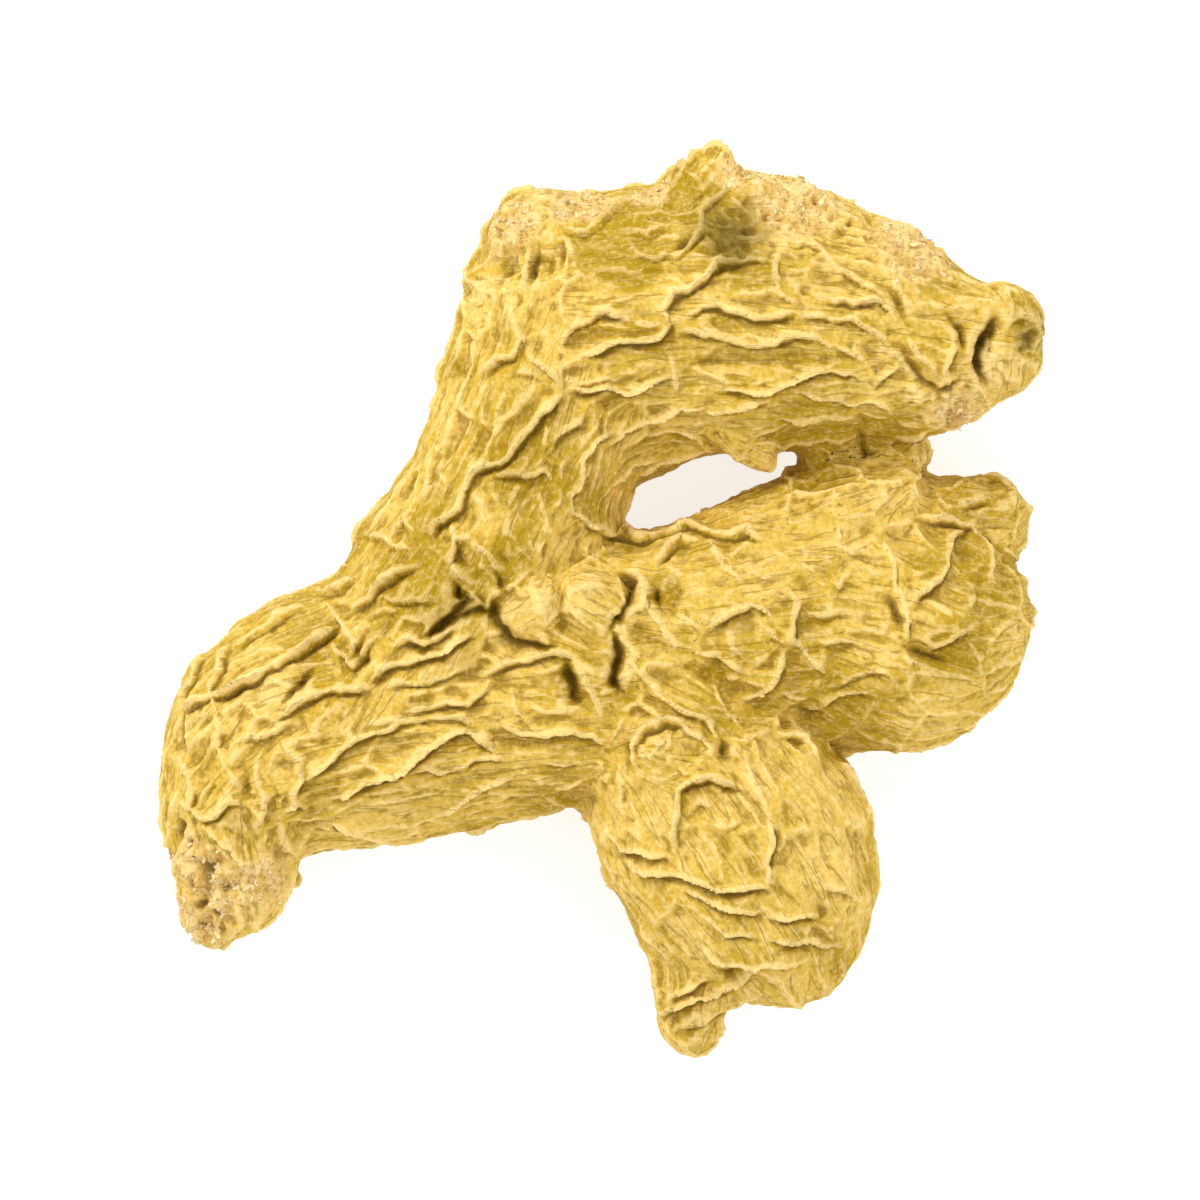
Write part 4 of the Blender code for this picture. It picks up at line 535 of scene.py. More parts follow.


# Where the side turned up is darker or paler; the darker places are partly painted shade, in hollows, under
# limbs and in the gaps between them, and partly darker skin.
TINTS = (
    Tint((7.4, 30.2), 2.8, -1.2),
    Tint((10.6, 27.2), 2.8, -1.2),
    Tint((12.6, 23.4), 2.2, -0.4),
    Tint((0.6, 29.4), 1.3, -0.6),
    Tint((-8.0, 25.2), 1.4, -0.6),
    Tint((-4.6, 25.2), 1.2, -0.7),
    Tint((-1.0, 26.2), 2.6, -0.7),
    Tint((3.2, 25.4), 3.0, -0.7),
    Tint((12.4, 14.0), 4.0, -0.3),
    # This and the next: painted shade in the deep gap between the arm and the middle finger.
    Tint((18.0, 9.8), 4.5, -0.8),
    Tint((24.6, 11.0), 2.0, -0.8),
    Tint((31.0, 5.4), 4.2, -0.6),
    Tint((29.4, -0.6), 3.2, -0.5),
    Tint((33.2, -2.0), 3.0, -0.5),
    Tint((29.4, -7.4), 3.0, -0.8),
    # Painted shade on the middle finger's underside.
    Tint((21.0, -12.6), 4.4, -0.8),
    Tint((-2.0, -9.8), 1.8, -0.7),
    Tint((2.2, -11.0), 1.6, -0.6),
    Tint((-11.0, -3.0), 3.2, -1.0),
    Tint((-14.6, 0.0), 3.6, -0.7),
    Tint((-7.2, 0.4), 1.8, -0.8),
    Tint((-21.0, 3.0), 3.4, -0.3),
    Tint((-17.0, -3.0), 3.0, -0.35),
    Tint((-23.6, -9.4), 1.8, -0.4),
    Tint((0.4, 4.6), 1.8, -0.5),
    Tint((-6.0, 6.4), 2.8, -0.25),
    Tint((9.8, -9.2), 1.3, -0.6),
    Tint((5.6, -2.4), 1.6, -0.9),
    Tint((-30.0, -23.4), 1.8, -0.4),
    Tint((-28.4, -26.4), 2.6, 0.6),
    Tint((33.8, 16.8), 2.2, 0.8),
    Tint((9.8, -12.6), 1.8, -0.5),
    Tint((5.2, -15.4), 1.2, -0.4),
    Tint((17.4, -30.6), 2.6, -0.5),
    Tint((11.0, -34.0), 3.0, -0.4),
    Tint((19.4, -32.4), 1.8, -0.6),
    Tint((8.0, -38.0), 3.0, -0.4),
    Tint((-11.6, -21.4), 3.4, -0.3),
    Tint((-5.0, -18.0), 3.0, -0.3),
    Tint((35.6, 20.0), 1.8, -0.7),
    Tint((35.4, 21.4), 1.4, -0.3),
    Tint((28.2, 17.6), 1.4, -0.3),
    Tint((-2.8, 14.6), 2.2, 0.5),
    Tint((14.6, 26.8), 1.6, 0.6),
    Tint((16.0, 31.0), 3.0, 0.6),
    Tint((13.0, 18.0), 3.0, 0.25),
    Tint((20.0, 26.0), 3.0, 0.3),
    Tint((-11.0, 14.0), 3.4, 0.25),
    Tint((-27.4, -10.8), 3.0, 0.4),
    Tint((-18.0, -12.0), 3.4, 0.25),
    Tint((-33.4, -13.6), 2.4, 0.4),
    Tint((-27.0, -27.0), 2.6, 0.5),
    Tint((24.0, 7.0), 3.2, 0.45),
    Tint((20.4, 3.2), 3.4, 0.3),
    Tint((27.4, 4.4), 1.8, 0.5),
    Tint((-6.6, -3.2), 1.8, 0.6),
    Tint((-1.0, -2.4), 2.0, 0.45),
    Tint((3.6, -2.6), 1.2, 0.4),
    Tint((3.6, -14.0), 1.6, 0.35),
    Tint((13.4, -17.4), 1.6, 0.4),
    Tint((8.6, -21.0), 3.4, 0.2),
    Tint((2.9, 29.2), 1.6, -0.9),
    Tint((1.8, 23.8), 3.0, -0.5),
    Tint((3.6, 19.4), 2.0, -0.4),
    Tint((27.9, 23.4), 1.6, -0.7),
    Tint((-11.2, 16.2), 1.4, -0.9),
    Tint((-9.9, 22.5), 1.2, 0.8),
    Tint((-1.8, 6.3), 1.6, -0.8),
    Tint((-24.3, -6.3), 3.0, -0.5),
    Tint((3.6, -5.4), 1.8, -0.4),
    Tint((-3.6, -19.8), 2.8, -0.5),
    Tint((-6.0, 10.0), 8.0, -0.4),
    Tint((-20.0, -7.0), 9.0, -0.2),
    Tint((18.0, -5.0), 9.0, -0.25),
    Tint((17.4, -21.6), 2.6, 0.3),
    Tint((0.6, -21.0), 2.2, 0.3),
    Tint((30.0, 12.6), 2.6, 0.5),
    Tint((32.4, 16.0), 2.0, 0.4),
)


def unit(rows: np.ndarray) -> np.ndarray:
    """Each row at length one."""
    return rows / np.maximum(np.linalg.norm(rows, axis=1), TINY)[:, None]


def seen_from_above(out: np.ndarray) -> np.ndarray:
    """How far each place, with its way out, belongs to the side turned up."""
    return np.clip(out[:, 2] / UPPER_SIDE, 0, 1)


def waves(points: np.ndarray, length: float) -> np.ndarray:
    """Soft noise of one wave length.

    Args:
        points: Places in millimetres.
        length: The wave length in millimetres.

    Returns:
        A number for each point, mostly from -0.5 to 0.5.
    """
    return np.array([noise.noise(Vector(point)) for point in points / length])


def wander(points: np.ndarray, crinkles: tuple[tuple[float, float], ...]) -> np.ndarray:
    """Pushes points sideways by soft noise, which makes a line through them crinkle.

    Args:
        points: Places in millimetres.
        crinkles: Pairs of a wave length and a reach.

    Returns:
        The moved places.
    """
    moved = points.copy()
    for length, reach in crinkles:
        moved += reach * np.array([noise.noise_vector(Vector(point)) for point in points / length])
    return moved


def crumbs(points: np.ndarray) -> np.ndarray:
    """The relief of a scraped place: lumps, the dents between them, and grit."""
    lumps, dents, grit = waves(points, 2.1), np.abs(waves(points + 50, 1.1)), waves(points, 0.6)
    return 1.2 * lumps + 1 - 2.5 * dents + 0.9 * grit


def torn_strands(points: np.ndarray) -> np.ndarray:
    """The relief of a torn place: short strands with gaps between them."""
    gaps, lumps = np.abs(waves(points / (1.0, 3.2, 1.0), 1.3)), waves(points + 90, 0.9)
    return 1 - 3 * gaps + 0.8 * lumps


def corners_of(mesh: Mesh) -> np.ndarray:
    """Reads the mesh's corners.

    Args:
        mesh: The mesh.

    Returns:
        A row of three for each corner.
    """
    flat = np.empty(len(mesh.vertices) * 3, np.float32)
    mesh.vertices.foreach_get("co", flat)
    return flat.reshape(-1, 3).astype(float)


def put_corners(mesh: Mesh, rows: np.ndarray) -> None:
    """Moves the mesh's corners to the rows."""
    mesh.vertices.foreach_set("co", rows.astype(np.float32).ravel())
    mesh.update()


def add_marks(mesh: Mesh, marks: Marks) -> None:
    """Stores numbers on the mesh's corners for the materials to read.

    Args:
        mesh: The mesh that gets them.
        marks: A number or a row of three for each corner, by the attribute's name.
    """
    for name, values in marks.items():
        kind, field_name = ("FLOAT", "value") if values.ndim == 1 else ("FLOAT_VECTOR", "vector")
        layer = mesh.attributes.new(name, kind, "POINT")
        layer.data.foreach_set(field_name, values.astype(np.float32).ravel())


def take_result(obj: Object) -> None:
    """Turns what the object's modifiers make into its plain mesh, and removes them.

    Args:
        obj: The object that changes.
    """
    done = bpy.data.meshes.new_from_object(obj.evaluated_get(bpy.context.evaluated_depsgraph_get()))
    obj.modifiers.clear()
    obj.data = done


def apply_modifier(obj: Object, kind: str, **settings: object) -> None:
    """Applies one modifier to the object's mesh.

    Args:
        obj: The object that changes.
        kind: The modifier's type.
        **settings: The modifier's own settings.
    """
    modifier = obj.modifiers.new(kind.title(), kind)
    for name, value in settings.items():
        setattr(modifier, name, value)
    take_result(obj)


def linked(name: str, mesh: Mesh) -> Object:
    """Shows a mesh in the scene.

    Args:
        name: The new object's name.
        mesh: Its mesh.

    Returns:
        The new object.
    """
    obj = bpy.data.objects.new(name, mesh)
    bpy.context.scene.collection.objects.link(obj)
    return obj


@dataclass(frozen=True)
class Uneven:
    """A factor that changes softly from place to place.

    Args:
        length: The wave length of its changes in millimetres.
        middle: Its middle value.
        swing: How strongly it changes.
        low: Its lowest value.
        high: Its highest value.
    """

    length: float
    middle: float
    swing: float
    low: float
    high: float

    def at(self, points: np.ndarray) -> np.ndarray:
        """The factor at each place."""
        return np.clip(self.middle + self.swing * waves(points, self.length), self.low, self.high)


@dataclass
class Flesh:
    """The root's body under the skin: a smooth union of tapering limbs.

    Args:
        limbs: The stations of each limb: x, y, z, half width and half height.
        softness: How far the flesh rounds where two limbs meet.
        steps_per_span: Smoothed spine points from one station to the next.
        ball_spine: How long the spine of a limb with one station is.
        reach: How far from a limb it is still felt.
        least_slope: The gentlest slope that still moves a point by no more than its depth.
        least_grain: How short a limb's direction may be along the surface before another stands in.
        spare_grain: That other direction.
    """

    limbs: dict[str, tuple[Point, ...]]
    softness: float = 0.55
    steps_per_span: int = 5
    ball_spine: float = 1e-6
    reach: float = 4.0
    least_slope: float = 0.1
    least_grain: float = 0.15
    spare_grain: Point = (0.3, 0.8, 0.5)
    spines: list[np.ndarray] = field(init=False)

    def __post_init__(self) -> None:
        """Smooths every limb's spine."""
        self.spines = [self.smooth_spine(stations) for stations in self.limbs.values()]

    def smooth_spine(self, stations: tuple[Point, ...]) -> np.ndarray:
        """The Catmull-Rom curve through a limb's stations.

        Args:
            stations: x, y, z, half width and half height of each station.

        Returns:
            The same five numbers for each point of the curve.
        """
        rows = np.array(stations, float)
        if len(rows) == 1:
            return np.vstack([rows, rows + [self.ball_spine, 0, 0, 0, 0]])
        ends = np.vstack([2 * rows[0] - rows[1], rows, 2 * rows[-1] - rows[-2]])
        spine = [rows[0]]
        for i in range(1, len(rows)):
            before, start, end, after = ends[i - 1], ends[i], ends[i + 1], ends[i + 2]
            for t in np.linspace(0, 1, self.steps_per_span + 1)[1:]:
                bend = 2 * before - 5 * start + 4 * end - after
                twist = 3 * start - before - 3 * end + after
                spine.append(0.5 * (2 * start + (end - before) * t + bend * t**2 + twist * t**3))
        return np.array(spine)

    def depth_in_limb(self, points: np.ndarray, spine: np.ndarray) -> tuple[np.ndarray, ...]:
        """Measures points against one limb.

        Args:
            points: Places in millimetres.
            spine: The limb's smoothed spine.

        Returns:
            How far outside the limb each point is, which way is out, and the limb's direction there.
        """
        nearest = np.full(len(points), np.inf)
        out = np.zeros_like(points)
        along = np.zeros_like(points)
        for start, end in zip(spine[:-1], spine[1:]):
            run = end[:3] - start[:3]
            share = np.clip((points - start[:3]) @ run / (run @ run), 0, 1)
            half_width = start[3] + (end[3] - start[3]) * share
            flatness = half_width / (start[4] + (end[4] - start[4]) * share)
            away = points - start[:3] - share[:, None] * run
            away[:, 2] *= flatness
            length = np.linalg.norm(away, axis=1)
            depth = length - half_width
            closer = depth < nearest
            nearest[closer] = depth[closer]
            away[:, 2] *= flatness
            out[closer] = away[closer] / np.maximum(length[closer], TINY)[:, None]
            along[closer] = run / max(np.linalg.norm(run), TINY)
        return nearest, out, along

    def at(self, points: np.ndarray) -> tuple[np.ndarray, ...]:
        """Measures points against the smooth union of all limbs.

        Args:
            points: Places in millimetres.

        Returns:
            The depth outside the flesh, its slope, the grain's direction and the nearest limb's number.
        """
        count = len(self.spines)
        depths = np.full((count, len(points)), FAR)
        outs = np.zeros((count, len(points), 3))
        alongs = np.zeros((count, len(points), 3))
        for i, spine in enumerate(self.spines):
            margin = spine[:, 3:4].max() + self.reach
            low, high = spine[:, :3].min(axis=0) - margin, spine[:, :3].max(axis=0) + margin
            near = ((points > low) & (points < high)).all(axis=1)
            if near.any():
                depths[i, near], outs[i, near], alongs[i, near] = self.depth_in_limb(points[near], spine)
        floor = depths.min(axis=0)
        share = np.exp((floor - depths) / self.softness)
        total = share.sum(axis=0)
        slope = np.einsum("ln,lnk->nk", share / total, outs)
        limb = depths.argmin(axis=0)
        return floor - self.softness * np.log(total), slope, alongs[limb, np.arange(len(points))], limb

    def settle(self, points: np.ndarray, steps: int = 6) -> np.ndarray:
        """Moves points along the slope until they lie on the flesh.

        Args:
            points: Places in millimetres.
            steps: How often each point moves.

        Returns:
            The moved points.
        """
        for _ in range(steps):
            depth, slope, _, _ = self.at(points)
            steepness = np.maximum((slope**2).sum(axis=1), self.least_slope)
            points = points - (depth / steepness)[:, None] * slope
        return points

    def surface_frame(self, points: np.ndarray) -> tuple[np.ndarray, ...]:
        """The directions of the surface at points that lie on it.

        Args:
            points: Places on the flesh.

        Returns:
            The way out, the grain along the surface, and the nearest limb's number.
        """
        _, slope, grain, limb = self.at(points)
        out = unit(slope)
        grain = grain - (grain * out).sum(axis=1)[:, None] * out
        flat = np.cross(out, self.spare_grain)
        lost = np.linalg.norm(grain, axis=1) < self.least_grain
        grain[lost] = flat[lost]
        return out, unit(grain), limb

    def blank(self, voxel: float) -> Object:
        """A closed mesh close to the flesh, to be settled onto it.

        Args:
            voxel: The distance from one corner to the next.

        Returns:
            An object that holds the mesh.
        """
        sphere = bpy.data.meshes.new("ball")
        balls = bmesh.new()
        for spine in self.spines:
            for x, y, z, half_width, half_height in spine:
                for vert in bmesh.ops.create_icosphere(balls, subdivisions=3, radius=1.0)["verts"]:
                    across, along, up = vert.co
                    vert.co = (x + across * half_width, y + along * half_width, z + up * half_height)
        balls.to_mesh(sphere)
        balls.free()
        root = linked("ginger_root_skin", sphere)
        apply_modifier(root, "REMESH", mode="VOXEL", voxel_size=voxel)
        return root


@dataclass
class PlateNet:
    """The net of dried plates, with a crinkled ridge where two of them meet.

    Args:
        flesh: The flesh that the plates cover.
        sizes: Width across the grain and length share by limb.
        other_size: The same for the other limbs.
        seed: The seed of the plates' places.
        tries: How many places are tried.
        batch: How many points are measured at once.
        step: How far one plate lies above or below the next.
        tilt: How far a plate rises towards its lee rim.
        rim: How near its rim that rise drops again.
        sag: How far a plate's middle has sunk.
        rim_rate: How soon a plate's rim turns into its middle, as a rate over the plate's width.
        height: How high a ridge stands.
        least_height: The lowest ridge's share of that height.
        top_share: How much of that height is left on the side turned up.
        width: How wide a ridge is.
        sharpness: How sharply it drops to its sides.
        cross_share: How high a ridge across the grain is beside one along it.
        uneven: How its height changes on its way.
        painted_plate_shading: How strongly a plate is painted darker towards its lee rim and paler towards
            the other, as painted shade and light.
        wrinkles: Length, width and height of the finer wrinkles that run along a plate's grain.
        wrinkle_rate: How narrow a wrinkle is beside the gap to the next.
        crinkles: Wave length and reach of the ridges' sideways wander.
        strand_shift: How far the strands' pattern jumps from plate to plate.
    """

    flesh: Flesh
    sizes: dict[str, tuple[float, float]]
    other_size: tuple[float, float] = (2.4, 1.6)
    seed: int = 11
    tries: int = 12000
    batch: int = 6000
    step: float = 0.2
    tilt: float = 0.3
    rim: float = 0.3
    sag: float = 0.25
    rim_rate: float = 3.0
    height: float = 0.75
    least_height: float = 0.25
    top_share: float = 0.38
    width: float = 0.26
    sharpness: float = 1.1
    cross_share: float = 0.55
    uneven: Uneven = Uneven(length=2.2, middle=0.8, swing=1.4, low=0.15, high=1.3)
    painted_plate_shading: float = 0.8
    wrinkles: tuple[tuple[float, float, float], ...] = ((6.5, 1.9, 0.3), (3.2, 1.0, 0.13))
    wrinkle_rate: float = 4.2
    crinkles: tuple[tuple[float, float], ...] = ((3.4, 0.75), (1.3, 0.28))
    strand_shift: float = 37.0

    def __post_init__(self) -> None:
        """Spreads the plates evenly over the flesh."""
        rng = np.random.default_rng(self.seed)
        reach = np.vstack(self.flesh.spines)
        low = (reach[:, :3] - reach[:, 3:4]).min(axis=0)
        high = (reach[:, :3] + reach[:, 3:4]).max(axis=0)
        tries = self.flesh.settle(rng.uniform(low, high, (self.tries, 3)), 12)
        out, grain, limb = self.flesh.surface_frame(tries)
        shapes = np.array([self.sizes.get(name, self.other_size) for name in self.flesh.limbs])[limb]
        across, squeeze = shapes[:, 0], 1 - 1 / shapes[:, 1] ** 2
        kept = [0]
        for i in range(1, self.tries):
            away = tries[kept] - tries[i]
            run = (away * grain[kept]).sum(axis=1)
            if ((away**2).sum(axis=1) - squeeze[kept] * run**2).min() > across[i] ** 2:
                kept.append(i)
        self.centres, self.grains, self.outs = tries[kept], grain[kept], out[kept]
        self.across, self.squeeze = across[kept], squeeze[kept]
        self.draws = rng.uniform(0, 1, len(kept))

    def meeting(self, points: np.ndarray) -> tuple[np.ndarray, ...]:
        """Finds the line between two plates that is nearest to each point.

        Args:
            points: Places in millimetres.

        Returns:
            The point's plate, the next plate, how far off their line it is, and how much the line crosses
            the grain.
        """
        first = np.zeros(len(points), int)
        second = np.zeros(len(points), int)
        gap = np.zeros(len(points))
        cross = np.zeros(len(points))
        for part in np.array_split(np.arange(len(points)), max(1, len(points) // self.batch)):
            away = points[part, None, :] - self.centres[None, :, :]
            run = np.einsum("pck,ck->pc", away, self.grains)
            reach = ((away**2).sum(axis=2) - self.squeeze * run**2) / self.across**2
            near = np.argpartition(reach, 2, axis=1)[:, :2]
            rows = np.arange(len(part))
            order = np.argsort(reach[rows[:, None], near], axis=1)
            a, b = near[rows, order[:, 0]], near[rows, order[:, 1]]
            pulls = []
            for plate in (a, b):
                lengthwise = (self.squeeze[plate] * run[rows, plate])[:, None] * self.grains[plate]
                pulls.append((away[rows, plate] - lengthwise) / self.across[plate][:, None] ** 2)
            slope = 2 * (pulls[1] - pulls[0])
            steep = np.maximum(np.linalg.norm(slope, axis=1), TINY)
            first[part], second[part] = a, b
            gap[part] = (reach[rows, b] - reach[rows, a]) / steep
            cross[part] = np.abs((slope * self.grains[a]).sum(axis=1)) / steep
        return first, second, gap, cross

    def raised(self, points: np.ndarray, out: np.ndarray) -> tuple[np.ndarray, np.ndarray, Marks]:
        """Raises the plates, their ridges and their wrinkles.

        Args:
            points: Places on the flesh.
            out: The way out of the flesh at each.

        Returns:
            How far the plates and their ridges stand out there, how far the wrinkles do, and the marks: each
            plate's own tint from -1 to 1, with painted shade towards its lee rim and painted light towards
            its lit rim, how far each place is from its plate's rim, and where it lies along, across and above
            its plate's grain.
        """
        first, second, gap, cross = self.meeting(wander(points, self.crinkles))
        across, draw = self.across[first], self.draws[first]
        share = self.least_height + (draw + self.draws[second]) % 1.0
        share *= 1 - (1 - self.cross_share) * cross**2
        share *= self.uneven.at(points)
        share *= 1 - (1 - self.top_share) * np.abs(out[:, 2])
        ridge = share * np.exp(-((gap / self.width) ** self.sharpness))
        inner = 1 - np.exp(-gap / across * self.rim_rate)
        level = inner * (self.step * (2 * draw - 1) - self.sag)
        away = points - self.centres[first]
        lee = np.clip(away[:, :2] @ LEE / across, -1, 1) * np.clip(0.5 + out[:, 2], 0, 1)
        level += self.tilt * lee * (1 - np.exp(-gap / self.rim))
        second_draw = (7 * draw) % 1.0
        # A plate's own random tint, with painted shade towards its lee rim and painted light towards its lit
        # rim.
        tint = inner * (2 * second_draw - 1 - self.painted_plate_shading * lee)
        grain, up = self.grains[first], self.outs[first]
        strand = np.stack([(away * axis).sum(axis=1) for axis in (grain, np.cross(up, grain), up)], axis=1)
        strand += self.strand_shift * draw[:, None]
        marks = {"tint": tint, "inner": inner, "strand": strand}
        return self.height * ridge + level, (0.5 + 0.5 * inner) * self.wrinkled(strand), marks

    def wrinkled(self, local: np.ndarray) -> np.ndarray:
        """Raises fine sharp wrinkles along each plate's own grain.

        Args:
            local: Where each place lies along, across and above its plate's grain.

        Returns:
            How far each place stands out.
        """
        height = np.zeros(len(local))
        for length, width, rise in self.wrinkles:
            soft = waves(local / np.array([length, width, 1.5 * width]), 1.0)
            crest = np.clip(1 - self.wrinkle_rate * np.abs(soft), 0, 1) ** 1.2
            height += rise * (crest - 0.25)
        return height


@dataclass
class DrawnFolds:
    """The folds and creases that stand out most on the side turned up.

    Args:
        folds: Each fold's share of the full height and its line in plan.
        creases: Each crease's share of the full depth and its line in plan.
        lip: How high a full fold's narrow lip stands.
        lip_widths: How wide the lip is on its lit side and on its lee side.
        slope: How high the slope stands that leads up to the lip.
        slope_widths: How wide the slope is on the two sides.
        groove_off: How far from its crest the groove at a fold's foot lies.
        groove: How deep that groove is.
        groove_width: How wide that groove is.
        depth: How deep a full crease is.
        crease_width: How wide a crease is.
        clearing: How near a fold the net of plates fades out.
        reach: How far beside a line it is still felt.
        sharpness: How sharply a line drops to its sides.
        end_strength: How strong a line is at its very ends.
        taper: How far from its ends a line thins out.
        uneven: How the lines' height changes on their way.
        crinkles: Wave length and reach of the lines' sideways wander.
    """

    folds: tuple[Line, ...]
    creases: tuple[Line, ...]
    lip: float = 0.6
    lip_widths: tuple[float, float] = (0.26, 0.12)
    slope: float = 0.7
    slope_widths: tuple[float, float] = (1.9, 0.13)
    groove_off: float = 0.34
    groove: float = 0.4
    groove_width: float = 0.22
    depth: float = 1.4
    crease_width: float = 0.42
    clearing: float = 0.7
    reach: float = 3.0
    sharpness: float = 1.15
    end_strength: float = 0.2
    taper: float = 1.8
    uneven: Uneven = Uneven(length=2.6, middle=0.95, swing=0.9, low=0.55, high=1.25)
    crinkles: tuple[tuple[float, float], ...] = ((1.6, 0.32), (0.7, 0.12))

    def off_line(self, plan: np.ndarray, corners: np.ndarray) -> tuple[np.ndarray, np.ndarray, np.ndarray]:
        """Measures points of the plan against a drawn line.

        Args:
            plan: Places in plan.
            corners: The line's corners.

        Returns:
            How far each is from the line, how much of the line's strength is left there, as it thins out
            towards both ends, and how far the place lies to the line's lee, from -1 to 1.
        """
        nearest = np.full(len(plan), np.inf)
        strength = np.zeros(len(plan))
        side = np.zeros(len(plan))
        runs = np.diff(corners, axis=0)
        lengths = np.linalg.norm(runs, axis=1)
        starts = np.concatenate([[0], np.cumsum(lengths)])
        for start, run, length, before in zip(corners, runs, lengths, starts):
            share = np.clip((plan - start) @ run / length**2, 0, 1)
            away = plan - start - share[:, None] * run
            off = np.linalg.norm(away, axis=1)
            along = before + share * length
            closer = off < nearest
            nearest[closer] = off[closer]
            to_end = np.minimum(along, starts[-1] - along)[closer]
            strength[closer] = np.clip(self.end_strength + to_end / self.taper, 0, 1)
            side[closer] = (away[closer] @ LEE) / np.maximum(off[closer], TINY)
        return nearest, strength, side

    def drawn(
        self, plan: np.ndarray, lines: tuple[Line, ...], widths: tuple[float, float], shift: float = 0.0
    ) -> tuple[np.ndarray, np.ndarray]:
        """The highest drawn line at each point, and how far off the nearest one is.

        Args:
            plan: Places in plan.
            lines: The lines with their shares.
            widths: How wide a line is on its lit side and on its lee side.
            shift: How far the lines are moved to their lee.

        Returns:
            A share of the full height, and a distance in millimetres.
        """
        height = np.zeros(len(plan))
        nearest = np.full(len(plan), np.inf)
        for share, line in lines:
            corners = np.array(line, float) + shift * np.array(LEE)
            low, high = corners.min(axis=0) - self.reach, corners.max(axis=0) + self.reach
            around = ((plan > low) & (plan < high)).all(axis=1)
            off, strength, side = self.off_line(plan[around], corners)
            nearest[around] = np.minimum(nearest[around], off)
            width = widths[0] + (widths[1] - widths[0]) * (0.5 + 0.5 * side)
            drop = np.exp(-((off / width) ** self.sharpness))
            height[around] = np.maximum(height[around], share * strength * drop)
        return height, nearest

    def raised(self, points: np.ndarray, out: np.ndarray) -> tuple[np.ndarray, np.ndarray, Marks]:
        """Raises the folds and sinks the creases.

        Args:
            points: Places on the flesh.
            out: The way out of the flesh at each.

        Returns:
            How far the skin stands out, how much the net of plates fades, and the marks: how much of each
            place lies on a fold's crest, in the groove at its lee foot, which gets a painted shadow, and in a
            crease, which gets painted shade.
        """
        plan = wander(points, self.crinkles)[:, :2]
        seen = seen_from_above(out)
        fold, off = self.drawn(plan, self.folds, self.lip_widths)
        slope, _ = self.drawn(plan, self.folds, self.slope_widths)
        groove, _ = self.drawn(plan, self.folds, (self.groove_width,) * 2, self.groove_off)
        crease, _ = self.drawn(plan, self.creases, (self.crease_width,) * 2)
        height = self.lip * fold + self.slope * slope - self.groove * groove - self.depth * crease
        # The groove at a fold's lee foot, where the material paints a thin shadow.
        lee = np.clip(groove - 0.8 * fold, 0, 1)
        marks = {"fold": seen * fold, "lee": seen * lee, "crease": seen * crease}
        return height * seen * self.uneven.at(points), seen * np.exp(-((off / self.clearing) ** 2)), marks


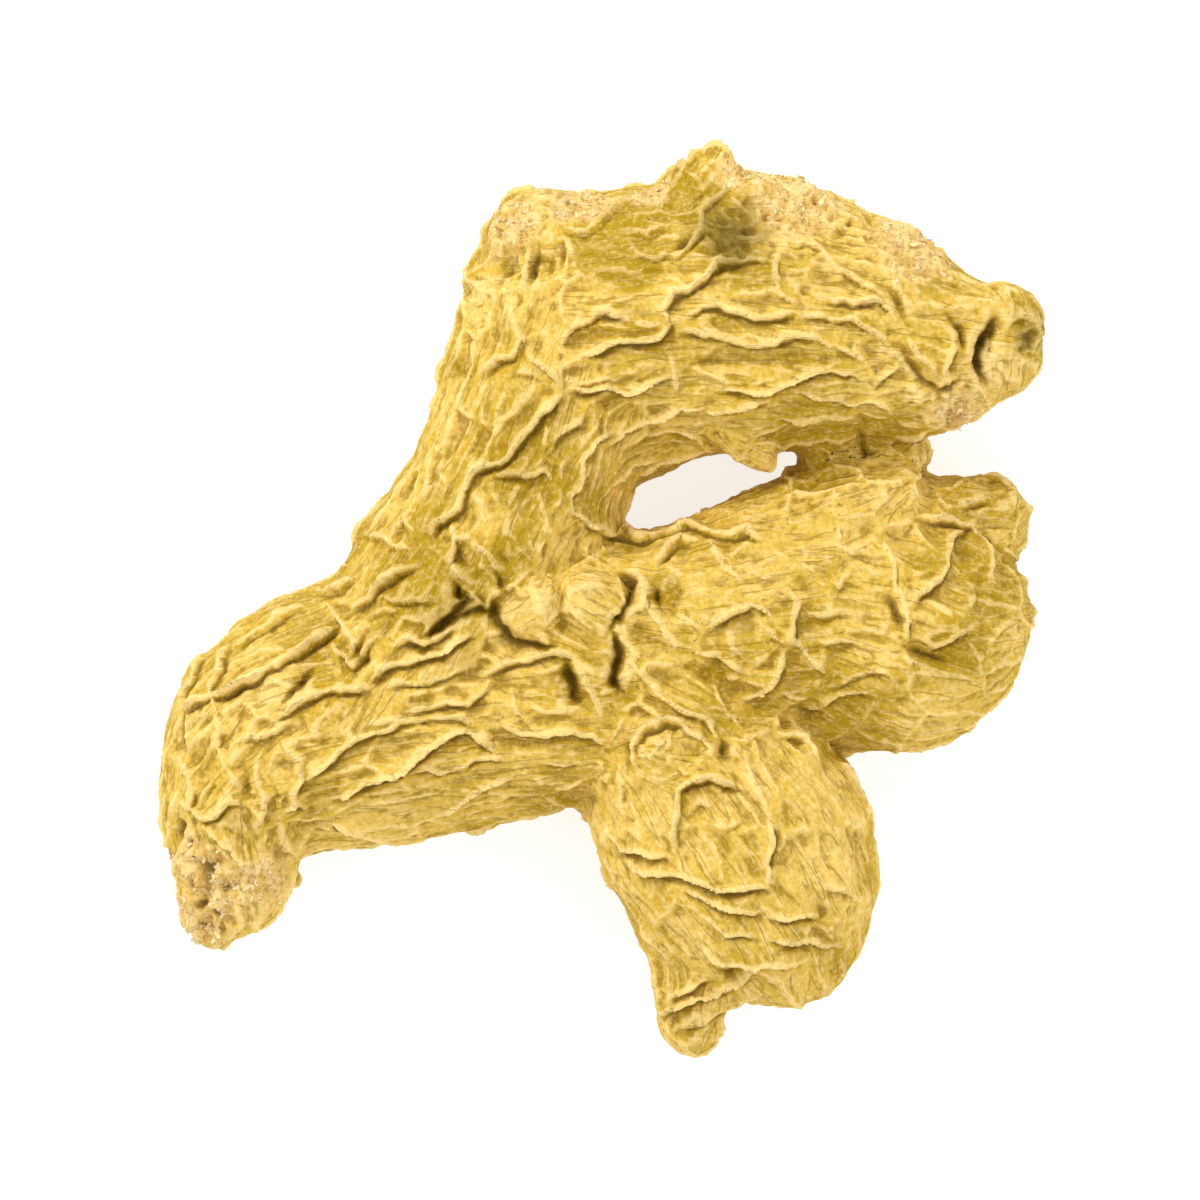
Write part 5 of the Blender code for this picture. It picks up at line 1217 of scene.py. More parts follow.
@dataclass
class Nodes:
    """Short words for building a node tree, of a material or of geometry.

    Args:
        tree: The tree that the nodes go into.
    """

    tree: NodeTree

    def add(self, kind: str) -> Node:
        """A new node of the kind."""
        return self.tree.nodes.new(kind)

    def link(self, source: Value, target: NodeSocket) -> None:
        """Links a socket to a socket, or sets the target to a number or a colour.

        Args:
            source: The socket, the number or the colour.
            target: The input that takes it.
        """
        if isinstance(source, NodeSocket):
            self.tree.links.new(source, target)
        elif isinstance(source, tuple):
            target.default_value = (*source, 1.0)[: len(target.default_value)]
        else:
            target.default_value = source

    def mark(self, name: str, output: str = "Fac") -> NodeSocket:
        """Reads what is stored on the mesh.

        Args:
            name: The name that it is stored under.
            output: "Fac" for a number, "Vector" for a row of three.

        Returns:
            The number or the row.
        """
        node = self.add("ShaderNodeAttribute")
        node.attribute_name = name
        return node.outputs[output]

    def row(self, **parts: Value) -> NodeSocket:
        """Puts a row of three together.

        Args:
            **parts: Its parts X, Y and Z, where one that is left out is 0.

        Returns:
            The row.
        """
        node = self.add("ShaderNodeCombineXYZ")
        for axis, value in parts.items():
            self.link(value, node.inputs[axis])
        return node.outputs["Vector"]

    def thin_lines(self, place: NodeSocket, length: float, width: float) -> NodeSocket:
        """Thin wandering lines, where soft noise crosses its middle.

        Args:
            place: The coordinates.
            length: The noise's wave length in millimetres.
            width: How far from its middle the noise may be on a line.

        Returns:
            1 on a line and 0 off it.
        """
        off = self.math("ABSOLUTE", self.sum(self.noise(place, length), -0.5), 0.0)
        return self.ramp(off, width, 0.0)

    def noise(
        self, place: NodeSocket, length: float, detail: float = 2, roughness: float = 0.5
    ) -> NodeSocket:
        """Noise from 0 to 1.

        Args:
            place: The coordinates.
            length: The wave length in millimetres.
            detail: How many finer layers it has.
            roughness: How strong the finer layers are.

        Returns:
            The noise's number.
        """
        node = self.add("ShaderNodeTexNoise")
        self.link(place, node.inputs["Vector"])
        node.inputs["Scale"].default_value = 1 / (length * MM)
        node.inputs["Detail"].default_value = detail
        node.inputs["Roughness"].default_value = roughness
        return node.outputs["Fac"]

    def ramp(self, value: Value, low: float, high: float) -> NodeSocket:
        """A smooth rise from 0 where the value is low to 1 where it is high.

        Args:
            value: The value.
            low: Where the rise starts, which may lie above its end.
            high: Where the rise ends.

        Returns:
            The risen number.
        """
        node = self.add("ShaderNodeMapRange")
        node.interpolation_type = "SMOOTHSTEP"
        self.link(value, node.inputs["Value"])
        node.inputs["From Min"].default_value = min(low, high)
        node.inputs["From Max"].default_value = max(low, high)
        node.inputs["To Min"].default_value = float(low > high)
        node.inputs["To Max"].default_value = float(low < high)
        return node.outputs["Result"]

    def math(self, operation: str, first: Value, second: Value) -> NodeSocket:
        """One step of arithmetic on two values.

        Args:
            operation: The step's name.
            first: The first value.
            second: The second value.

        Returns:
            Its result.
        """
        node = self.add("ShaderNodeMath")
        node.operation = operation
        self.link(first, node.inputs[0])
        self.link(second, node.inputs[1])
        return node.outputs[0]

    def product(self, first: Value, second: Value) -> NodeSocket:
        """Two values multiplied."""
        return self.math("MULTIPLY", first, second)

    def sum(self, first: Value, second: Value) -> NodeSocket:
        """Two values added."""
        return self.math("ADD", first, second)

    def mix(self, share: Value, under: Value, over: Value) -> NodeSocket:
        """One colour laid over another by a share.

        Args:
            share: How much of the lower colour is covered.
            under: The lower colour.
            over: The upper colour.

        Returns:
            The mixed colour.
        """
        node = self.add("ShaderNodeMix")
        node.data_type = "RGBA"
        self.link(share, node.inputs["Factor"])
        self.link(under, node.inputs["A"])
        self.link(over, node.inputs["B"])
        return node.outputs["Result"]


@dataclass(frozen=True)
class Layer:
    """One colour laid over the skin where a pattern is strong.

    Args:
        pattern: The pattern's name.
        span: Where on the pattern the layer starts and where it is full; none where the pattern is a share.
        share: How much of what lies below it covers where it is full.
        colour: The name of its colour.
    """

    pattern: str
    span: tuple[float, float] | None
    share: float
    colour: str


# From the lowest to the uppermost, over the olive ground.
SKIN_LAYERS = (
    # The tone holds the tint, so its darker end carries some of the painted shade.
    Layer("tone", (0.1, 0.9), 1.0, "golden"),
    Layer("tone", (0.35, 0.0), 0.4, "shade"),
    # Painted shade on the sides, towards the plates' lee rims and in the darker places, together with darker
    # skin.
    Layer("tint", (-0.15, -0.9), 0.85, "shade"),
    # Paler skin, and painted light towards the plates' lit rims.
    Layer("tint", (0.1, 0.7), 0.6, "blush"),
    Layer("mottle", (0.5, 0.7), 0.3, "blush"),
    Layer("mottle", (0.5, 0.3), 0.3, "shade"),
    Layer("streaks", (0.5, 0.7), 0.3, "blush"),
    Layer("streaks", (0.5, 0.3), 0.3, "shade"),
    Layer("threads", None, 0.45, "crest"),
    Layer("cracks", None, 0.6, "deep"),
    # Painted shade in the broad hollows and in the fine ones; the raised places are paler.
    Layer("broad", (-0.05, -0.5), 0.4, "deep"),
    Layer("relief", (-0.02, -0.15), 0.62, "deep"),
    Layer("relief", (0.03, 0.16), 0.7, "crest"),
    # The same painted shade and darker skin again, laid over the hollows.
    Layer("tint", (-0.3, -0.9), 0.4, "shade"),
    Layer("fold", (0.35, 0.8), 0.7, "crest"),
    Layer("grit", (0.5, 0.66), 0.3, "crest"),
    Layer("grit", (0.5, 0.34), 0.3, "shade"),
    Layer("bare", (0.25, 0.75), 0.85, "crumbs"),
    # Painted shade in the pits and holes.
    Layer("pit", None, 0.85, "pit"),
    # Painted shadow in the groove at each fold's lee foot.
    Layer("lee", (0.2, 0.7), 0.7, "crease"),
    # Painted shade in the creases.
    Layer("crease", (0.2, 0.9), 0.85, "crease"),
)


@dataclass(frozen=True)
class SkinFinish:
    """Dry golden-olive skin with pale crests, painted shade in its creases and hollows, and pale scraped
    places.

    Args:
        deep: The colour of cracks, and of the painted shade in hollows.
        shade: The colour of darker skin in mottles and streaks, and of the painted shade on the sides,
            towards the plates' lee rims and in darker places.
        olive: The skin's darker ground.
        golden: The skin's paler ground.
        blush: The colour of paler skin, and of the painted light towards the plates' lit rims.
        crest: The colour of crests and threads.
        rind: The darker colour of a scraped place.
        bare: The paler colour of a scraped place.
        pit: The colour of the painted shade in pits and holes, and of the dark specks on scraped places.
        crease: The colour of the painted shade in creases and of the painted shadow in the grooves at the
            folds' lee feet.
        roughness: How dull the skin is.
        specular: How strongly it reflects.
        strand_scale: How much the pattern along the strands is stretched.
        bump_strength: How strong the finest bumps are.
        bump_height: How high they stand, in millimetres.
    """

    deep: Colour = (0.28, 0.16, 0.003)
    shade: Colour = (0.42, 0.26, 0.006)
    olive: Colour = (0.66, 0.425, 0.046)
    golden: Colour = (0.82, 0.555, 0.12)
    blush: Colour = (0.89, 0.63, 0.22)
    crest: Colour = (0.97, 0.72, 0.285)
    rind: Colour = (0.76, 0.50, 0.14)
    bare: Colour = (0.91, 0.67, 0.29)
    pit: Colour = (0.20, 0.13, 0.02)
    crease: Colour = (0.12, 0.062, 0.002)
    roughness: float = 0.72
    specular: float = 0.12
    strand_scale: float = 0.13
    bump_strength: float = 0.8
    bump_height: float = 0.16

    def patterns(self, nodes: Nodes) -> dict[str, NodeSocket]:
        """The patterns that the layers follow.

        Args:
            nodes: The material's nodes.

        Returns:
            The marks on the mesh, the noise in Object coordinates, and the lines along each plate's strands,
            which leave its rim alone.
        """
        marks = ("relief", "broad", "bare", "pit", "fold", "crease", "tint", "lee")
        found = {name: nodes.mark(name) for name in marks}
        place = nodes.add("ShaderNodeTexCoord").outputs["Object"]
        patches = nodes.noise(place, 6.0, detail=4, roughness=0.65)
        tone = nodes.sum(nodes.product(patches, 2.0), -0.52)
        # The tone also takes in the tint, and with it the painted shade on the sides and towards the plates'
        # lee rims.
        found["tone"] = nodes.sum(tone, nodes.product(found["tint"], 0.6))
        found["mottle"] = nodes.noise(place, 1.6, detail=3, roughness=0.65)
        found["grit"] = nodes.noise(place, 0.4, detail=3, roughness=0.65)

        stretched = nodes.add("ShaderNodeVectorMath")
        stretched.operation = "MULTIPLY"
        nodes.link(nodes.mark("strand", "Vector"), stretched.inputs[0])
        stretched.inputs[1].default_value = (self.strand_scale * MM, MM, MM)
        along = stretched.outputs["Vector"]
        calm = nodes.ramp(nodes.mark("inner"), 0.12, 0.4)
        streaks = nodes.sum(nodes.noise(along, 0.8, detail=3, roughness=0.6), -0.5)
        found["streaks"] = nodes.sum(nodes.product(streaks, calm), 0.5)
        found["cracks"] = nodes.product(nodes.thin_lines(along, 1.3, 0.035), calm)
        found["threads"] = nodes.product(nodes.thin_lines(along, 0.9, 0.04), calm)
        return found

    def crumbs(self, nodes: Nodes, found: dict[str, NodeSocket]) -> NodeSocket:
        """The colour of a scraped place, with dark specks."""
        crumbs = nodes.mix(nodes.ramp(found["mottle"], 0.4, 0.62), self.rind, self.bare)
        return nodes.mix(nodes.product(nodes.ramp(found["grit"], 0.47, 0.35), 0.55), crumbs, self.pit)

    def bumps(self, nodes: Nodes, found: dict[str, NodeSocket]) -> NodeSocket:
        """The finest bumps: grit, streaks, raised threads and sunken cracks.

        Args:
            nodes: The material's nodes.
            found: The patterns.

        Returns:
            The bumpy surface's direction.
        """
        bump = nodes.add("ShaderNodeBump")
        bump.inputs["Strength"].default_value = self.bump_strength
        bump.inputs["Distance"].default_value = self.bump_height * MM
        fine = nodes.sum(nodes.product(found["grit"], 0.6), nodes.product(found["streaks"], 0.9))
        lines = nodes.math("SUBTRACT", found["threads"], found["cracks"])
        nodes.link(nodes.sum(fine, nodes.product(lines, 0.35)), bump.inputs["Height"])
        return bump.outputs["Normal"]

    def material(self) -> Material:
        """Builds the skin's material, layer by layer.

        Returns:
            The material.
        """
        material = bpy.data.materials.new("dried_ginger_skin")
        material.use_nodes = True
        nodes = Nodes(material.node_tree)
        found = self.patterns(nodes)
        crumbs = self.crumbs(nodes, found)
        colour = self.olive
        for layer in SKIN_LAYERS:
            pattern = found[layer.pattern]
            cover = nodes.ramp(pattern, *layer.span) if layer.span else pattern
            over = crumbs if layer.colour == "crumbs" else getattr(self, layer.colour)
            colour = nodes.mix(nodes.product(cover, layer.share), colour, over)
        shader = material.node_tree.nodes["Principled BSDF"]
        nodes.link(colour, shader.inputs["Base Color"])
        nodes.link(self.bumps(nodes, found), shader.inputs["Normal"])
        shader.inputs["Roughness"].default_value = self.roughness
        shader.inputs["Specular IOR Level"].default_value = self.specular
        return material


@dataclass
class Root:
    """The whole root: its skin, raised from the flesh.

    Args:
        flesh: The body under the skin.
        plates: The net of dried plates.
        folds: The folds and creases of the side turned up.
        scars: The rough places.
        tints: Where the skin is darker or paler, the darker places partly as painted shade.
        finish: The skin's finish.
        lumps: Wave length and height of the swellings under the skin.
        grain: Wave length and height of the finest bumps of the mesh.
        wrinkle_fading: How much of the wrinkles fades near a drawn fold.
        scar_crinkles: Wave length and reach of the wander of the scars' edges.
        painted_side_shade: How much painted shade darkens the sides that face the table.
        voxel: The distance from one corner to the next before the mesh is thinned.
        near_blur: How far the fine relief is told from the broad one, as an area.
        far_blur: How far the broad relief is told from the root's form, as an area.
        triangles: How many triangles the skin keeps.
        under_share: How much of the underside's mesh is thinned out first.
    """

    flesh: Flesh
    plates: PlateNet
    folds: DrawnFolds
    scars: tuple[Scar, ...]
    tints: tuple[Tint, ...]
    finish: SkinFinish
    lumps: tuple[tuple[float, float], ...] = ((10.0, 0.6), (4.6, 0.3))
    grain: tuple[float, float] = (0.62, 0.1)
    wrinkle_fading: float = 0.6
    scar_crinkles: tuple[tuple[float, float], ...] = ((2.6, 0.8), (1.0, 0.35))
    painted_side_shade: float = 0.45
    voxel: float = 0.21
    quick_voxel: float = 0.45
    near_blur: float = 0.5
    far_blur: float = 6.0
    triangles: int = 196000
    under_share: float = 0.75

    def scarred(self, points: np.ndarray, height: np.ndarray) -> tuple[np.ndarray, Marks]:
        """Roughens and sinks the scars.

        Args:
            points: Places on the flesh.
            height: How far the skin stands out there so far.

        Returns:
            The new heights, and how bare and how pitted each place is.
        """
        marks = {"bare": np.zeros(len(points)), "pit": np.zeros(len(points))}
        scraped, torn = crumbs(points), torn_strands(points)
        moved = wander(points, self.scar_crinkles)
        for scar in self.scars:
            centre = self.flesh.settle(np.array([scar.place]), 12)
            off = np.linalg.norm(moved - centre, axis=1) / scar.radius
            inside = np.exp(-(off**3))
            fine = torn if scar.kind is ScarKind.TORN else scraped
            height = height + inside * (scar.roughness * fine - scar.sunk - 0.6 * height)
            mark = SCAR_MARKS.get(scar.kind)
            if mark:
                marks[mark] = np.maximum(marks[mark], inside)
        return height, marks

    def tinted(self, points: np.ndarray, out: np.ndarray, plate_tint: np.ndarray) -> np.ndarray:
        """Adds painted shade on the sides that face the table, and the darker and paler places, to each
        plate's own tint.

        Args:
            points: Places on the flesh.
            out: The way out of the flesh at each.
            plate_tint: The tint of the plate that each lies on, with its painted shade and light.

        Returns:
            How pale each place is, or how dark if below zero.
        """
        seen = seen_from_above(out)
        # Painted shade darkens the sides that face the table, over the plate's tint.
        tint = 0.4 * plate_tint - self.painted_side_shade * np.clip(1 - out[:, 2] / (2 * UPPER_SIDE), 0, 1)
        for patch in self.tints:
            off = np.linalg.norm(points[:, :2] - patch.place, axis=1) / patch.radius
            tint += patch.share * seen * np.exp(-(off**2.5))
        return np.clip(tint, -1, 1)

    def smoothed(self, mesh: Mesh, rows: np.ndarray, rounds: int) -> np.ndarray:
        """Averages rows with their neighbours on the mesh.

        Args:
            mesh: The mesh that says which corners are neighbours.
            rows: A row for each corner.
            rounds: How often each is averaged.

        Returns:
            The averaged rows.
        """
        edges = np.empty(len(mesh.edges) * 2, np.int32)
        mesh.edges.foreach_get("vertices", edges)
        a, b = edges[0::2], edges[1::2]
        count = np.bincount(a, minlength=len(rows)) + np.bincount(b, minlength=len(rows))
        for _ in range(rounds):
            total = np.empty_like(rows)
            for k in range(rows.shape[1]):
                total[:, k] = np.bincount(a, rows[b, k], len(rows)) + np.bincount(b, rows[a, k], len(rows))
            rows = total / np.maximum(count, 1)[:, None]
        return rows

    def thin(self, skin: Object, under: np.ndarray) -> None:
        """Thins the mesh to its number of triangles, first on the underside and then evenly.

        Args:
            skin: The skin's object.
            under: How far each corner lies on the underside.
        """
        group = skin.vertex_groups.new(name="underside")
        steps = np.round(under * 4) / 4
        for weight in np.unique(steps):
            group.add(np.nonzero(steps == weight)[0].tolist(), float(weight), "REPLACE")
        if 2 * len(skin.data.polygons) <= self.triangles:
            return
        kept = 1 - self.under_share * under.mean()
        apply_modifier(skin, "DECIMATE", ratio=kept, vertex_group=group.name, vertex_group_factor=1.0)
        skin.vertex_groups.clear()
        share = self.triangles / sum(len(face.vertices) - 2 for face in skin.data.polygons)
        apply_modifier(skin, "DECIMATE", ratio=min(1, share), use_collapse_triangulate=True)

    def relief(self, points: np.ndarray, out: np.ndarray, limb: np.ndarray) -> tuple[np.ndarray, Marks]:
        """Works out how far the skin stands out.

        Args:
            points: Places on the flesh.
            out: The way out of the flesh at each.
            limb: The number of the limb that each lies on.

        Returns:
            How far the skin stands out at each place, and the marks.
        """
        net, wrinkled, plate_marks = self.plates.raised(points, out)
        drawn, fading, fold_marks = self.folds.raised(points, out)
        height = net * (1 - fading) + wrinkled * (1 - self.wrinkle_fading * fading)
        height *= np.array([SMOOTHER_LIMBS.get(name, 1.0) for name in self.flesh.limbs])[limb]
        height += drawn + self.grain[1] * waves(points, self.grain[0])
        for length, reach in self.lumps:
            height += reach * waves(points, length)
        height, marks = self.scarred(points, height)
        return height, marks | fold_marks | plate_marks

    def build(self) -> Object:
        """Makes the skin.

        Returns:
            The skin's object, in the part's frame.
        """
        voxel = self.voxel
        skin = self.flesh.blank(voxel)
        points = self.flesh.settle(corners_of(skin.data))
        out, _, limb = self.flesh.surface_frame(points)
        height, marks = self.relief(points, out, limb)
        raised = points + height[:, None] * out
        side = np.clip(1 - 2 * out[:, 2:3], 0, 1)
        raised += side * (self.smoothed(skin.data, raised, 1) - raised)
        raised[:, 2] = np.maximum(raised[:, 2], 0)
        near = self.smoothed(skin.data, raised, round(self.near_blur / voxel**2))
        far = self.smoothed(skin.data, near, round(self.far_blur / voxel**2))
        # How far each place stands above or below its surroundings, finely and broadly; the material paints
        # shade into what lies below.
        marks["relief"] = ((raised - near) * out).sum(axis=1)
        marks["broad"] = ((near - far) * out).sum(axis=1)
        marks["tint"] = self.tinted(points, out, marks["tint"])
        put_corners(skin.data, (raised - (*PLAN_CENTRE, 0)) * MM)
        add_marks(skin.data, marks)
        LOG.info("skin raised on %d corners", len(points))
        self.thin(skin, np.clip(-2 * out[:, 2], 0, 1))
        skin.data.shade_smooth()
        skin.data.materials.clear()
        skin.data.materials.append(self.finish.material())
        return skin


@dataclass
class LooseBits:
    """Small bits that stand on the scraped and torn places, spread by Geometry Nodes.

    Args:
        density: How many stand on a square millimetre.
        length: How long the longest is.
        thickness: How thick one is.
        tilt: How far one may lean from upright, as an angle.
        seed: The seed of their places, sizes and leanings.
        colour: Their colour.
        smallest: The smallest one's share of the full size.
        crowding: How strongly they keep to the barest places.
    """

    density: float
    length: float
    thickness: float
    tilt: float
    seed: int
    colour: Colour
    smallest: float = 0.35
    crowding: float = 3.0
    name: ClassVar[str] = "loose_bits"

    def shape(self, nodes: Nodes, given: Node) -> NodeSocket:
        """One bit at full size, which stands on the origin."""
        raise NotImplementedError

    def lean(self, nodes: Nodes, given: Node, upright: NodeSocket) -> NodeSocket:
        """Leans each bit its own way.

        Args:
            nodes: The tree's nodes.
            given: The tree's inputs.
            upright: The rotation that stands a bit upright on the skin.

        Returns:
            The leaning bit's rotation.
        """
        reach = nodes.row(X=given.outputs["Tilt"], Y=given.outputs["Tilt"], Z=math.pi)
        back = nodes.add("ShaderNodeVectorMath")
        back.operation = "SCALE"
        back.inputs["Scale"].default_value = -1.0
        nodes.link(reach, back.inputs["Vector"])
        lean = nodes.add("FunctionNodeRandomValue")
        lean.data_type = "FLOAT_VECTOR"
        nodes.link(back.outputs["Vector"], lean.inputs["Min"])
        nodes.link(reach, lean.inputs["Max"])
        nodes.link(given.outputs["Seed"], lean.inputs["Seed"])
        turned = nodes.add("FunctionNodeRotateRotation")
        turned.rotation_space = "LOCAL"
        nodes.link(upright, turned.inputs["Rotation"])
        nodes.link(lean.outputs["Value"], turned.inputs["Rotate By"])
        return turned.outputs["Rotation"]

    def tree(self) -> NodeTree:
        """The tree that spreads the bits.

        Returns:
            The tree, with its sizes as named inputs.
        """
        tree = bpy.data.node_groups.new(self.name, "GeometryNodeTree")
        tree.interface.new_socket("Geometry", in_out="INPUT", socket_type="NodeSocketGeometry")
        for name in ("Density", "Length", "Thickness", "Tilt"):
            tree.interface.new_socket(name, in_out="INPUT", socket_type="NodeSocketFloat")
        tree.interface.new_socket("Seed", in_out="INPUT", socket_type="NodeSocketInt")
        tree.interface.new_socket("Geometry", in_out="OUTPUT", socket_type="NodeSocketGeometry")
        nodes = Nodes(tree)
        given = nodes.add("NodeGroupInput")

        bare = nodes.add("GeometryNodeInputNamedAttribute")
        bare.data_type = "FLOAT"
        bare.inputs["Name"].default_value = "bare"
        spread = nodes.add("GeometryNodeDistributePointsOnFaces")
        nodes.link(given.outputs["Geometry"], spread.inputs["Mesh"])
        share = nodes.math("POWER", bare.outputs["Attribute"], self.crowding)
        nodes.link(nodes.product(share, given.outputs["Density"]), spread.inputs["Density"])
        nodes.link(given.outputs["Seed"], spread.inputs["Seed"])

        size = nodes.add("FunctionNodeRandomValue")
        size.data_type = "FLOAT"
        nodes.link(self.smallest, size.inputs["Min"])
        nodes.link(given.outputs["Seed"], size.inputs["Seed"])
        placed = nodes.add("GeometryNodeInstanceOnPoints")
        nodes.link(spread.outputs["Points"], placed.inputs["Points"])
        nodes.link(self.shape(nodes, given), placed.inputs["Instance"])
        nodes.link(self.lean(nodes, given, spread.outputs["Rotation"]), placed.inputs["Rotation"])
        nodes.link(size.outputs["Value"], placed.inputs["Scale"])
        real = nodes.add("GeometryNodeRealizeInstances")
        nodes.link(placed.outputs["Instances"], real.inputs["Geometry"])
        dressed = nodes.add("GeometryNodeSetMaterial")
        dressed.inputs["Material"].default_value = self.material()
        nodes.link(real.outputs["Geometry"], dressed.inputs["Geometry"])
        nodes.link(dressed.outputs["Geometry"], nodes.add("NodeGroupOutput").inputs["Geometry"])
        return tree

    def material(self) -> Material:
        """Dry straw, a little paler or darker from place to place.

        Returns:
            The material.
        """
        material = bpy.data.materials.new(self.name)
        material.use_nodes = True
        nodes = Nodes(material.node_tree)
        shader = material.node_tree.nodes["Principled BSDF"]
        patches = nodes.noise(nodes.add("ShaderNodeTexCoord").outputs["Object"], 1.5)
        darker = tuple(0.75 * value for value in self.colour)
        nodes.link(nodes.mix(nodes.ramp(patches, 0.3, 0.7), darker, self.colour), shader.inputs["Base Color"])
        shader.inputs["Roughness"].default_value = 0.8
        return material

    def build(self, skin: Object) -> Object:
        """Spreads the bits over the skin.

        Args:
            skin: The skin, with the mark "bare" on its corners.

        Returns:
            One object that holds all the bits.
        """
        bits = linked(self.name, skin.data.copy())
        tree = self.tree()
        modifier = bits.modifiers.new(self.name, "NODES")
        modifier.node_group = tree
        given = {
            "Density": self.density / MM**2,
            "Length": self.length * MM,
            "Thickness": self.thickness * MM,
            "Tilt": self.tilt,
            "Seed": self.seed,
        }
        for socket in tree.interface.items_tree:
            if socket.in_out == "INPUT" and socket.name in given:
                modifier[socket.identifier] = given[socket.name]
        take_result(bits)
        return bits


@dataclass
class Fibres(LooseBits):
    """Loose ends of the root's own fibres, thin at the tip and bent over.

    Args:
        bend: The three corners that a fibre's curve bends by, sideways and up, as shares of its length.
        steps: How many straight pieces the curve has.
        sides: How many sides a fibre has.
    """

    density: float = 0.45
    length: float = 0.9
    thickness: float = 0.11
    tilt: float = 1.3
    seed: int = 5
    colour: Colour = (0.95, 0.76, 0.42)
    bend: tuple[tuple[float, float], ...] = ((0.0, -0.1), (0.0, 0.6), (0.6, 0.8))
    steps: int = 5
    sides: int = 3
    name: ClassVar[str] = "loose_fibres"

    def shape(self, nodes: Nodes, given: Node) -> NodeSocket:
        """Bends one fibre.

        Args:
            nodes: The tree's nodes.
            given: The tree's inputs.

        Returns:
            The fibre at full size.
        """
        line = nodes.add("GeometryNodeCurveQuadraticBezier")
        line.inputs["Resolution"].default_value = self.steps
        length = given.outputs["Length"]
        for name, (sideways, up) in zip(("Start", "Middle", "End"), self.bend):
            corner = nodes.row(X=nodes.product(length, sideways), Z=nodes.product(length, up))
            nodes.link(corner, line.inputs[name])
        along = nodes.add("GeometryNodeSplineParameter")
        tapered = nodes.add("GeometryNodeSetCurveRadius")
        nodes.link(line.outputs["Curve"], tapered.inputs["Curve"])
        nodes.link(nodes.math("SUBTRACT", 1.1, along.outputs["Factor"]), tapered.inputs["Radius"])
        ring = nodes.add("GeometryNodeCurvePrimitiveCircle")
        ring.inputs["Resolution"].default_value = self.sides
        nodes.link(nodes.product(given.outputs["Thickness"], 0.5), ring.inputs["Radius"])
        strand = nodes.add("GeometryNodeCurveToMesh")
        nodes.link(tapered.outputs["Curve"], strand.inputs["Curve"])
        nodes.link(ring.outputs["Curve"], strand.inputs["Profile Curve"])
        strand.inputs["Fill Caps"].default_value = True
        return strand.outputs["Mesh"]


@dataclass
class Flakes(LooseBits):
    """Thin curled flakes of skin that have come loose.

    Args:
        width_share: How wide a flake is beside its length.
        narrowing: How much narrower it gets from its middle to its ends.
        corners: How many corners it has along, across and through it.
    """

    density: float = 1.5
    length: float = 0.75
    thickness: float = 0.09
    tilt: float = 0.55
    seed: int = 9
    colour: Colour = (0.94, 0.74, 0.38)
    width_share: float = 0.6
    narrowing: float = 1.1
    corners: tuple[int, int, int] = (4, 3, 2)
    name: ClassVar[str] = "loose_flakes"

    def shape(self, nodes: Nodes, given: Node) -> NodeSocket:
        """Curls one flake along its length.

        Args:
            nodes: The tree's nodes.
            given: The tree's inputs.

        Returns:
            The flake at full size.
        """
        length = given.outputs["Length"]
        plate = nodes.add("GeometryNodeMeshCube")
        size = nodes.row(X=length, Y=nodes.product(length, self.width_share), Z=given.outputs["Thickness"])
        nodes.link(size, plate.inputs["Size"])
        for axis, count in zip("XYZ", self.corners):
            plate.inputs[f"Vertices {axis}"].default_value = count
        parts = nodes.add("ShaderNodeSeparateXYZ")
        nodes.link(nodes.add("GeometryNodeInputPosition").outputs["Position"], parts.inputs["Vector"])
        far = nodes.math("DIVIDE", parts.outputs["X"], length)
        rise = nodes.product(nodes.product(far, far), length)
        narrow = nodes.math("SUBTRACT", 1.0, nodes.product(nodes.math("ABSOLUTE", far, 0.0), self.narrowing))
        curled = nodes.row(
            X=parts.outputs["X"],
            Y=nodes.product(parts.outputs["Y"], narrow),
            Z=nodes.sum(parts.outputs["Z"], rise),
        )
        bent = nodes.add("GeometryNodeSetPosition")
        nodes.link(plate.outputs["Mesh"], bent.inputs["Geometry"])
        nodes.link(curled, bent.inputs["Position"])
        return bent.outputs["Geometry"]


@dataclass(frozen=True)
class TableTop:
    """Matt white table, which gives off some light itself.

    Args:
        grey: How pale it is.
        roughness: How dull it is.
        specular: How strongly it reflects.
        glow: How much light it gives off itself.
    """

    grey: float = 0.45
    roughness: float = 0.9
    specular: float = 0.1
    glow: float = 0.72

    def material(self) -> Material:
        """Builds the table's material.

        Returns:
            The material.
        """
        material = bpy.data.materials.new("white_table")
        material.use_nodes = True
        shader = material.node_tree.nodes["Principled BSDF"]
        shader.inputs["Base Color"].default_value = (self.grey, self.grey, self.grey, 1)
        shader.inputs["Roughness"].default_value = self.roughness
        shader.inputs["Specular IOR Level"].default_value = self.specular
        shader.inputs["Emission Color"].default_value = (1, 1, 1, 1)
        shader.inputs["Emission Strength"].default_value = self.glow
        return material


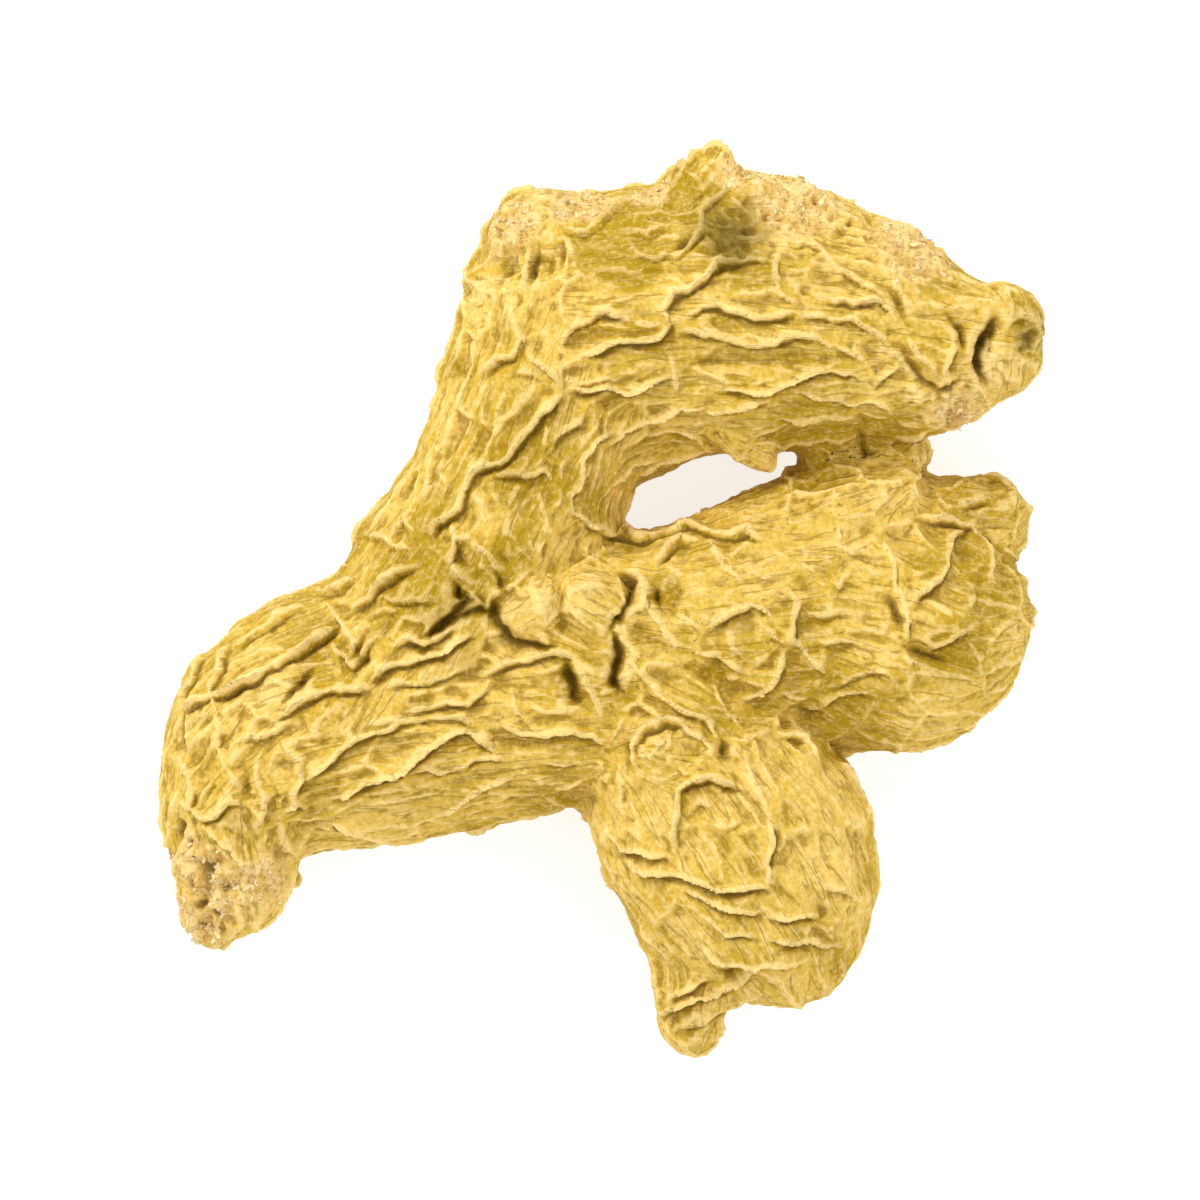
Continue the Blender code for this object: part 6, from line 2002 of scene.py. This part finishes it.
@dataclass
class Studio:
    """A white table under soft light, seen from straight above.

    Args:
        distance: How high the camera stands above the root.
        seen_width: How much of the table the picture is wide.
        focus_height: The height at which seen_width is measured.
        table_half: Half the width of the table.
        table_drop: How far the table lies below the root, so that they don't share a plane.
        surround: How bright the even white surround is.
        finish: The table's finish.
    """

    distance: float = 1.6
    seen_width: float = 0.1
    focus_height: float = 0.009
    table_half: float = 3.0
    table_drop: float = 0.0001
    surround: float = 0.9
    finish: TableTop = TableTop()

    def floor(self) -> Object:
        """Lays the white table top.

        Returns:
            The table top's object.
        """
        mesh = bpy.data.meshes.new("table_top")
        half = self.table_half
        corners = [(-half, -half, 0), (half, -half, 0), (half, half, 0), (-half, half, 0)]
        mesh.from_pydata(corners, [], [(0, 1, 2, 3)])
        mesh.materials.append(self.finish.material())
        floor = linked("table_top", mesh)
        floor.location.z = -self.table_drop
        return floor

    def lamp(self, name: str, place: Point, size: float, power: float) -> None:
        """One square soft light that faces the root.

        Args:
            name: Its name.
            place: Where it hangs.
            size: How wide it is.
            power: Its power in watts.
        """
        light = bpy.data.lights.new(name, "AREA")
        light.shape = "SQUARE"
        light.size = size
        light.energy = power
        lamp = bpy.data.objects.new(name, light)
        lamp.location = place
        lamp.rotation_euler = (-Vector(place)).to_track_quat("-Z", "Y").to_euler()
        bpy.context.scene.collection.objects.link(lamp)

    def light(self) -> None:
        """A large soft light at the upper left, a weaker one opposite, and an even white surround."""
        world = bpy.data.worlds.new("surround")
        bpy.context.scene.world = world
        world.use_nodes = True
        background = world.node_tree.nodes["Background"]
        background.inputs["Color"].default_value = (1, 1, 1, 1)
        background.inputs["Strength"].default_value = self.surround
        self.lamp("key_light", place=(-0.55, 0.6, 0.62), size=0.28, power=5.2)
        self.lamp("fill_light", place=(0.7, -0.3, 0.8), size=0.8, power=2.0)
        bpy.context.scene.view_settings.view_transform = "Standard"

    def camera(self) -> None:
        """The camera, straight above the root."""
        lens = bpy.data.cameras.new("camera")
        lens.sensor_width = 36
        lens.lens = lens.sensor_width * self.distance / self.seen_width
        lens.clip_start, lens.clip_end = 0.01, 20
        camera = bpy.data.objects.new("camera", lens)
        camera.location.z = self.focus_height + self.distance
        bpy.context.scene.collection.objects.link(camera)
        bpy.context.scene.camera = camera


def main() -> None:
    """Builds the root and the studio."""
    logging.basicConfig(level=logging.INFO, format="%(message)s")
    noise.seed_set(NOISE_SEED)
    flesh = Flesh(LIMBS)
    plates = PlateNet(flesh, PLATES)
    folds = DrawnFolds(FOLDS, CREASES + FINE_CREASES)
    skin = Root(flesh, plates, folds, SCARS, TINTS, SkinFinish()).build()
    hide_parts("ginger_root")
    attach(skin, "root")
    LOG.info("%s: %d faces", skin.name, len(skin.data.polygons))
    for scattered in (Fibres(), Flakes()):
        bits = scattered.build(skin)
        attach(bits, "root")
        LOG.info("%s: %d faces", bits.name, len(bits.data.polygons))
    studio = Studio()
    studio.floor()
    studio.light()
    studio.camera()


if __name__ == "__main__":
    main()
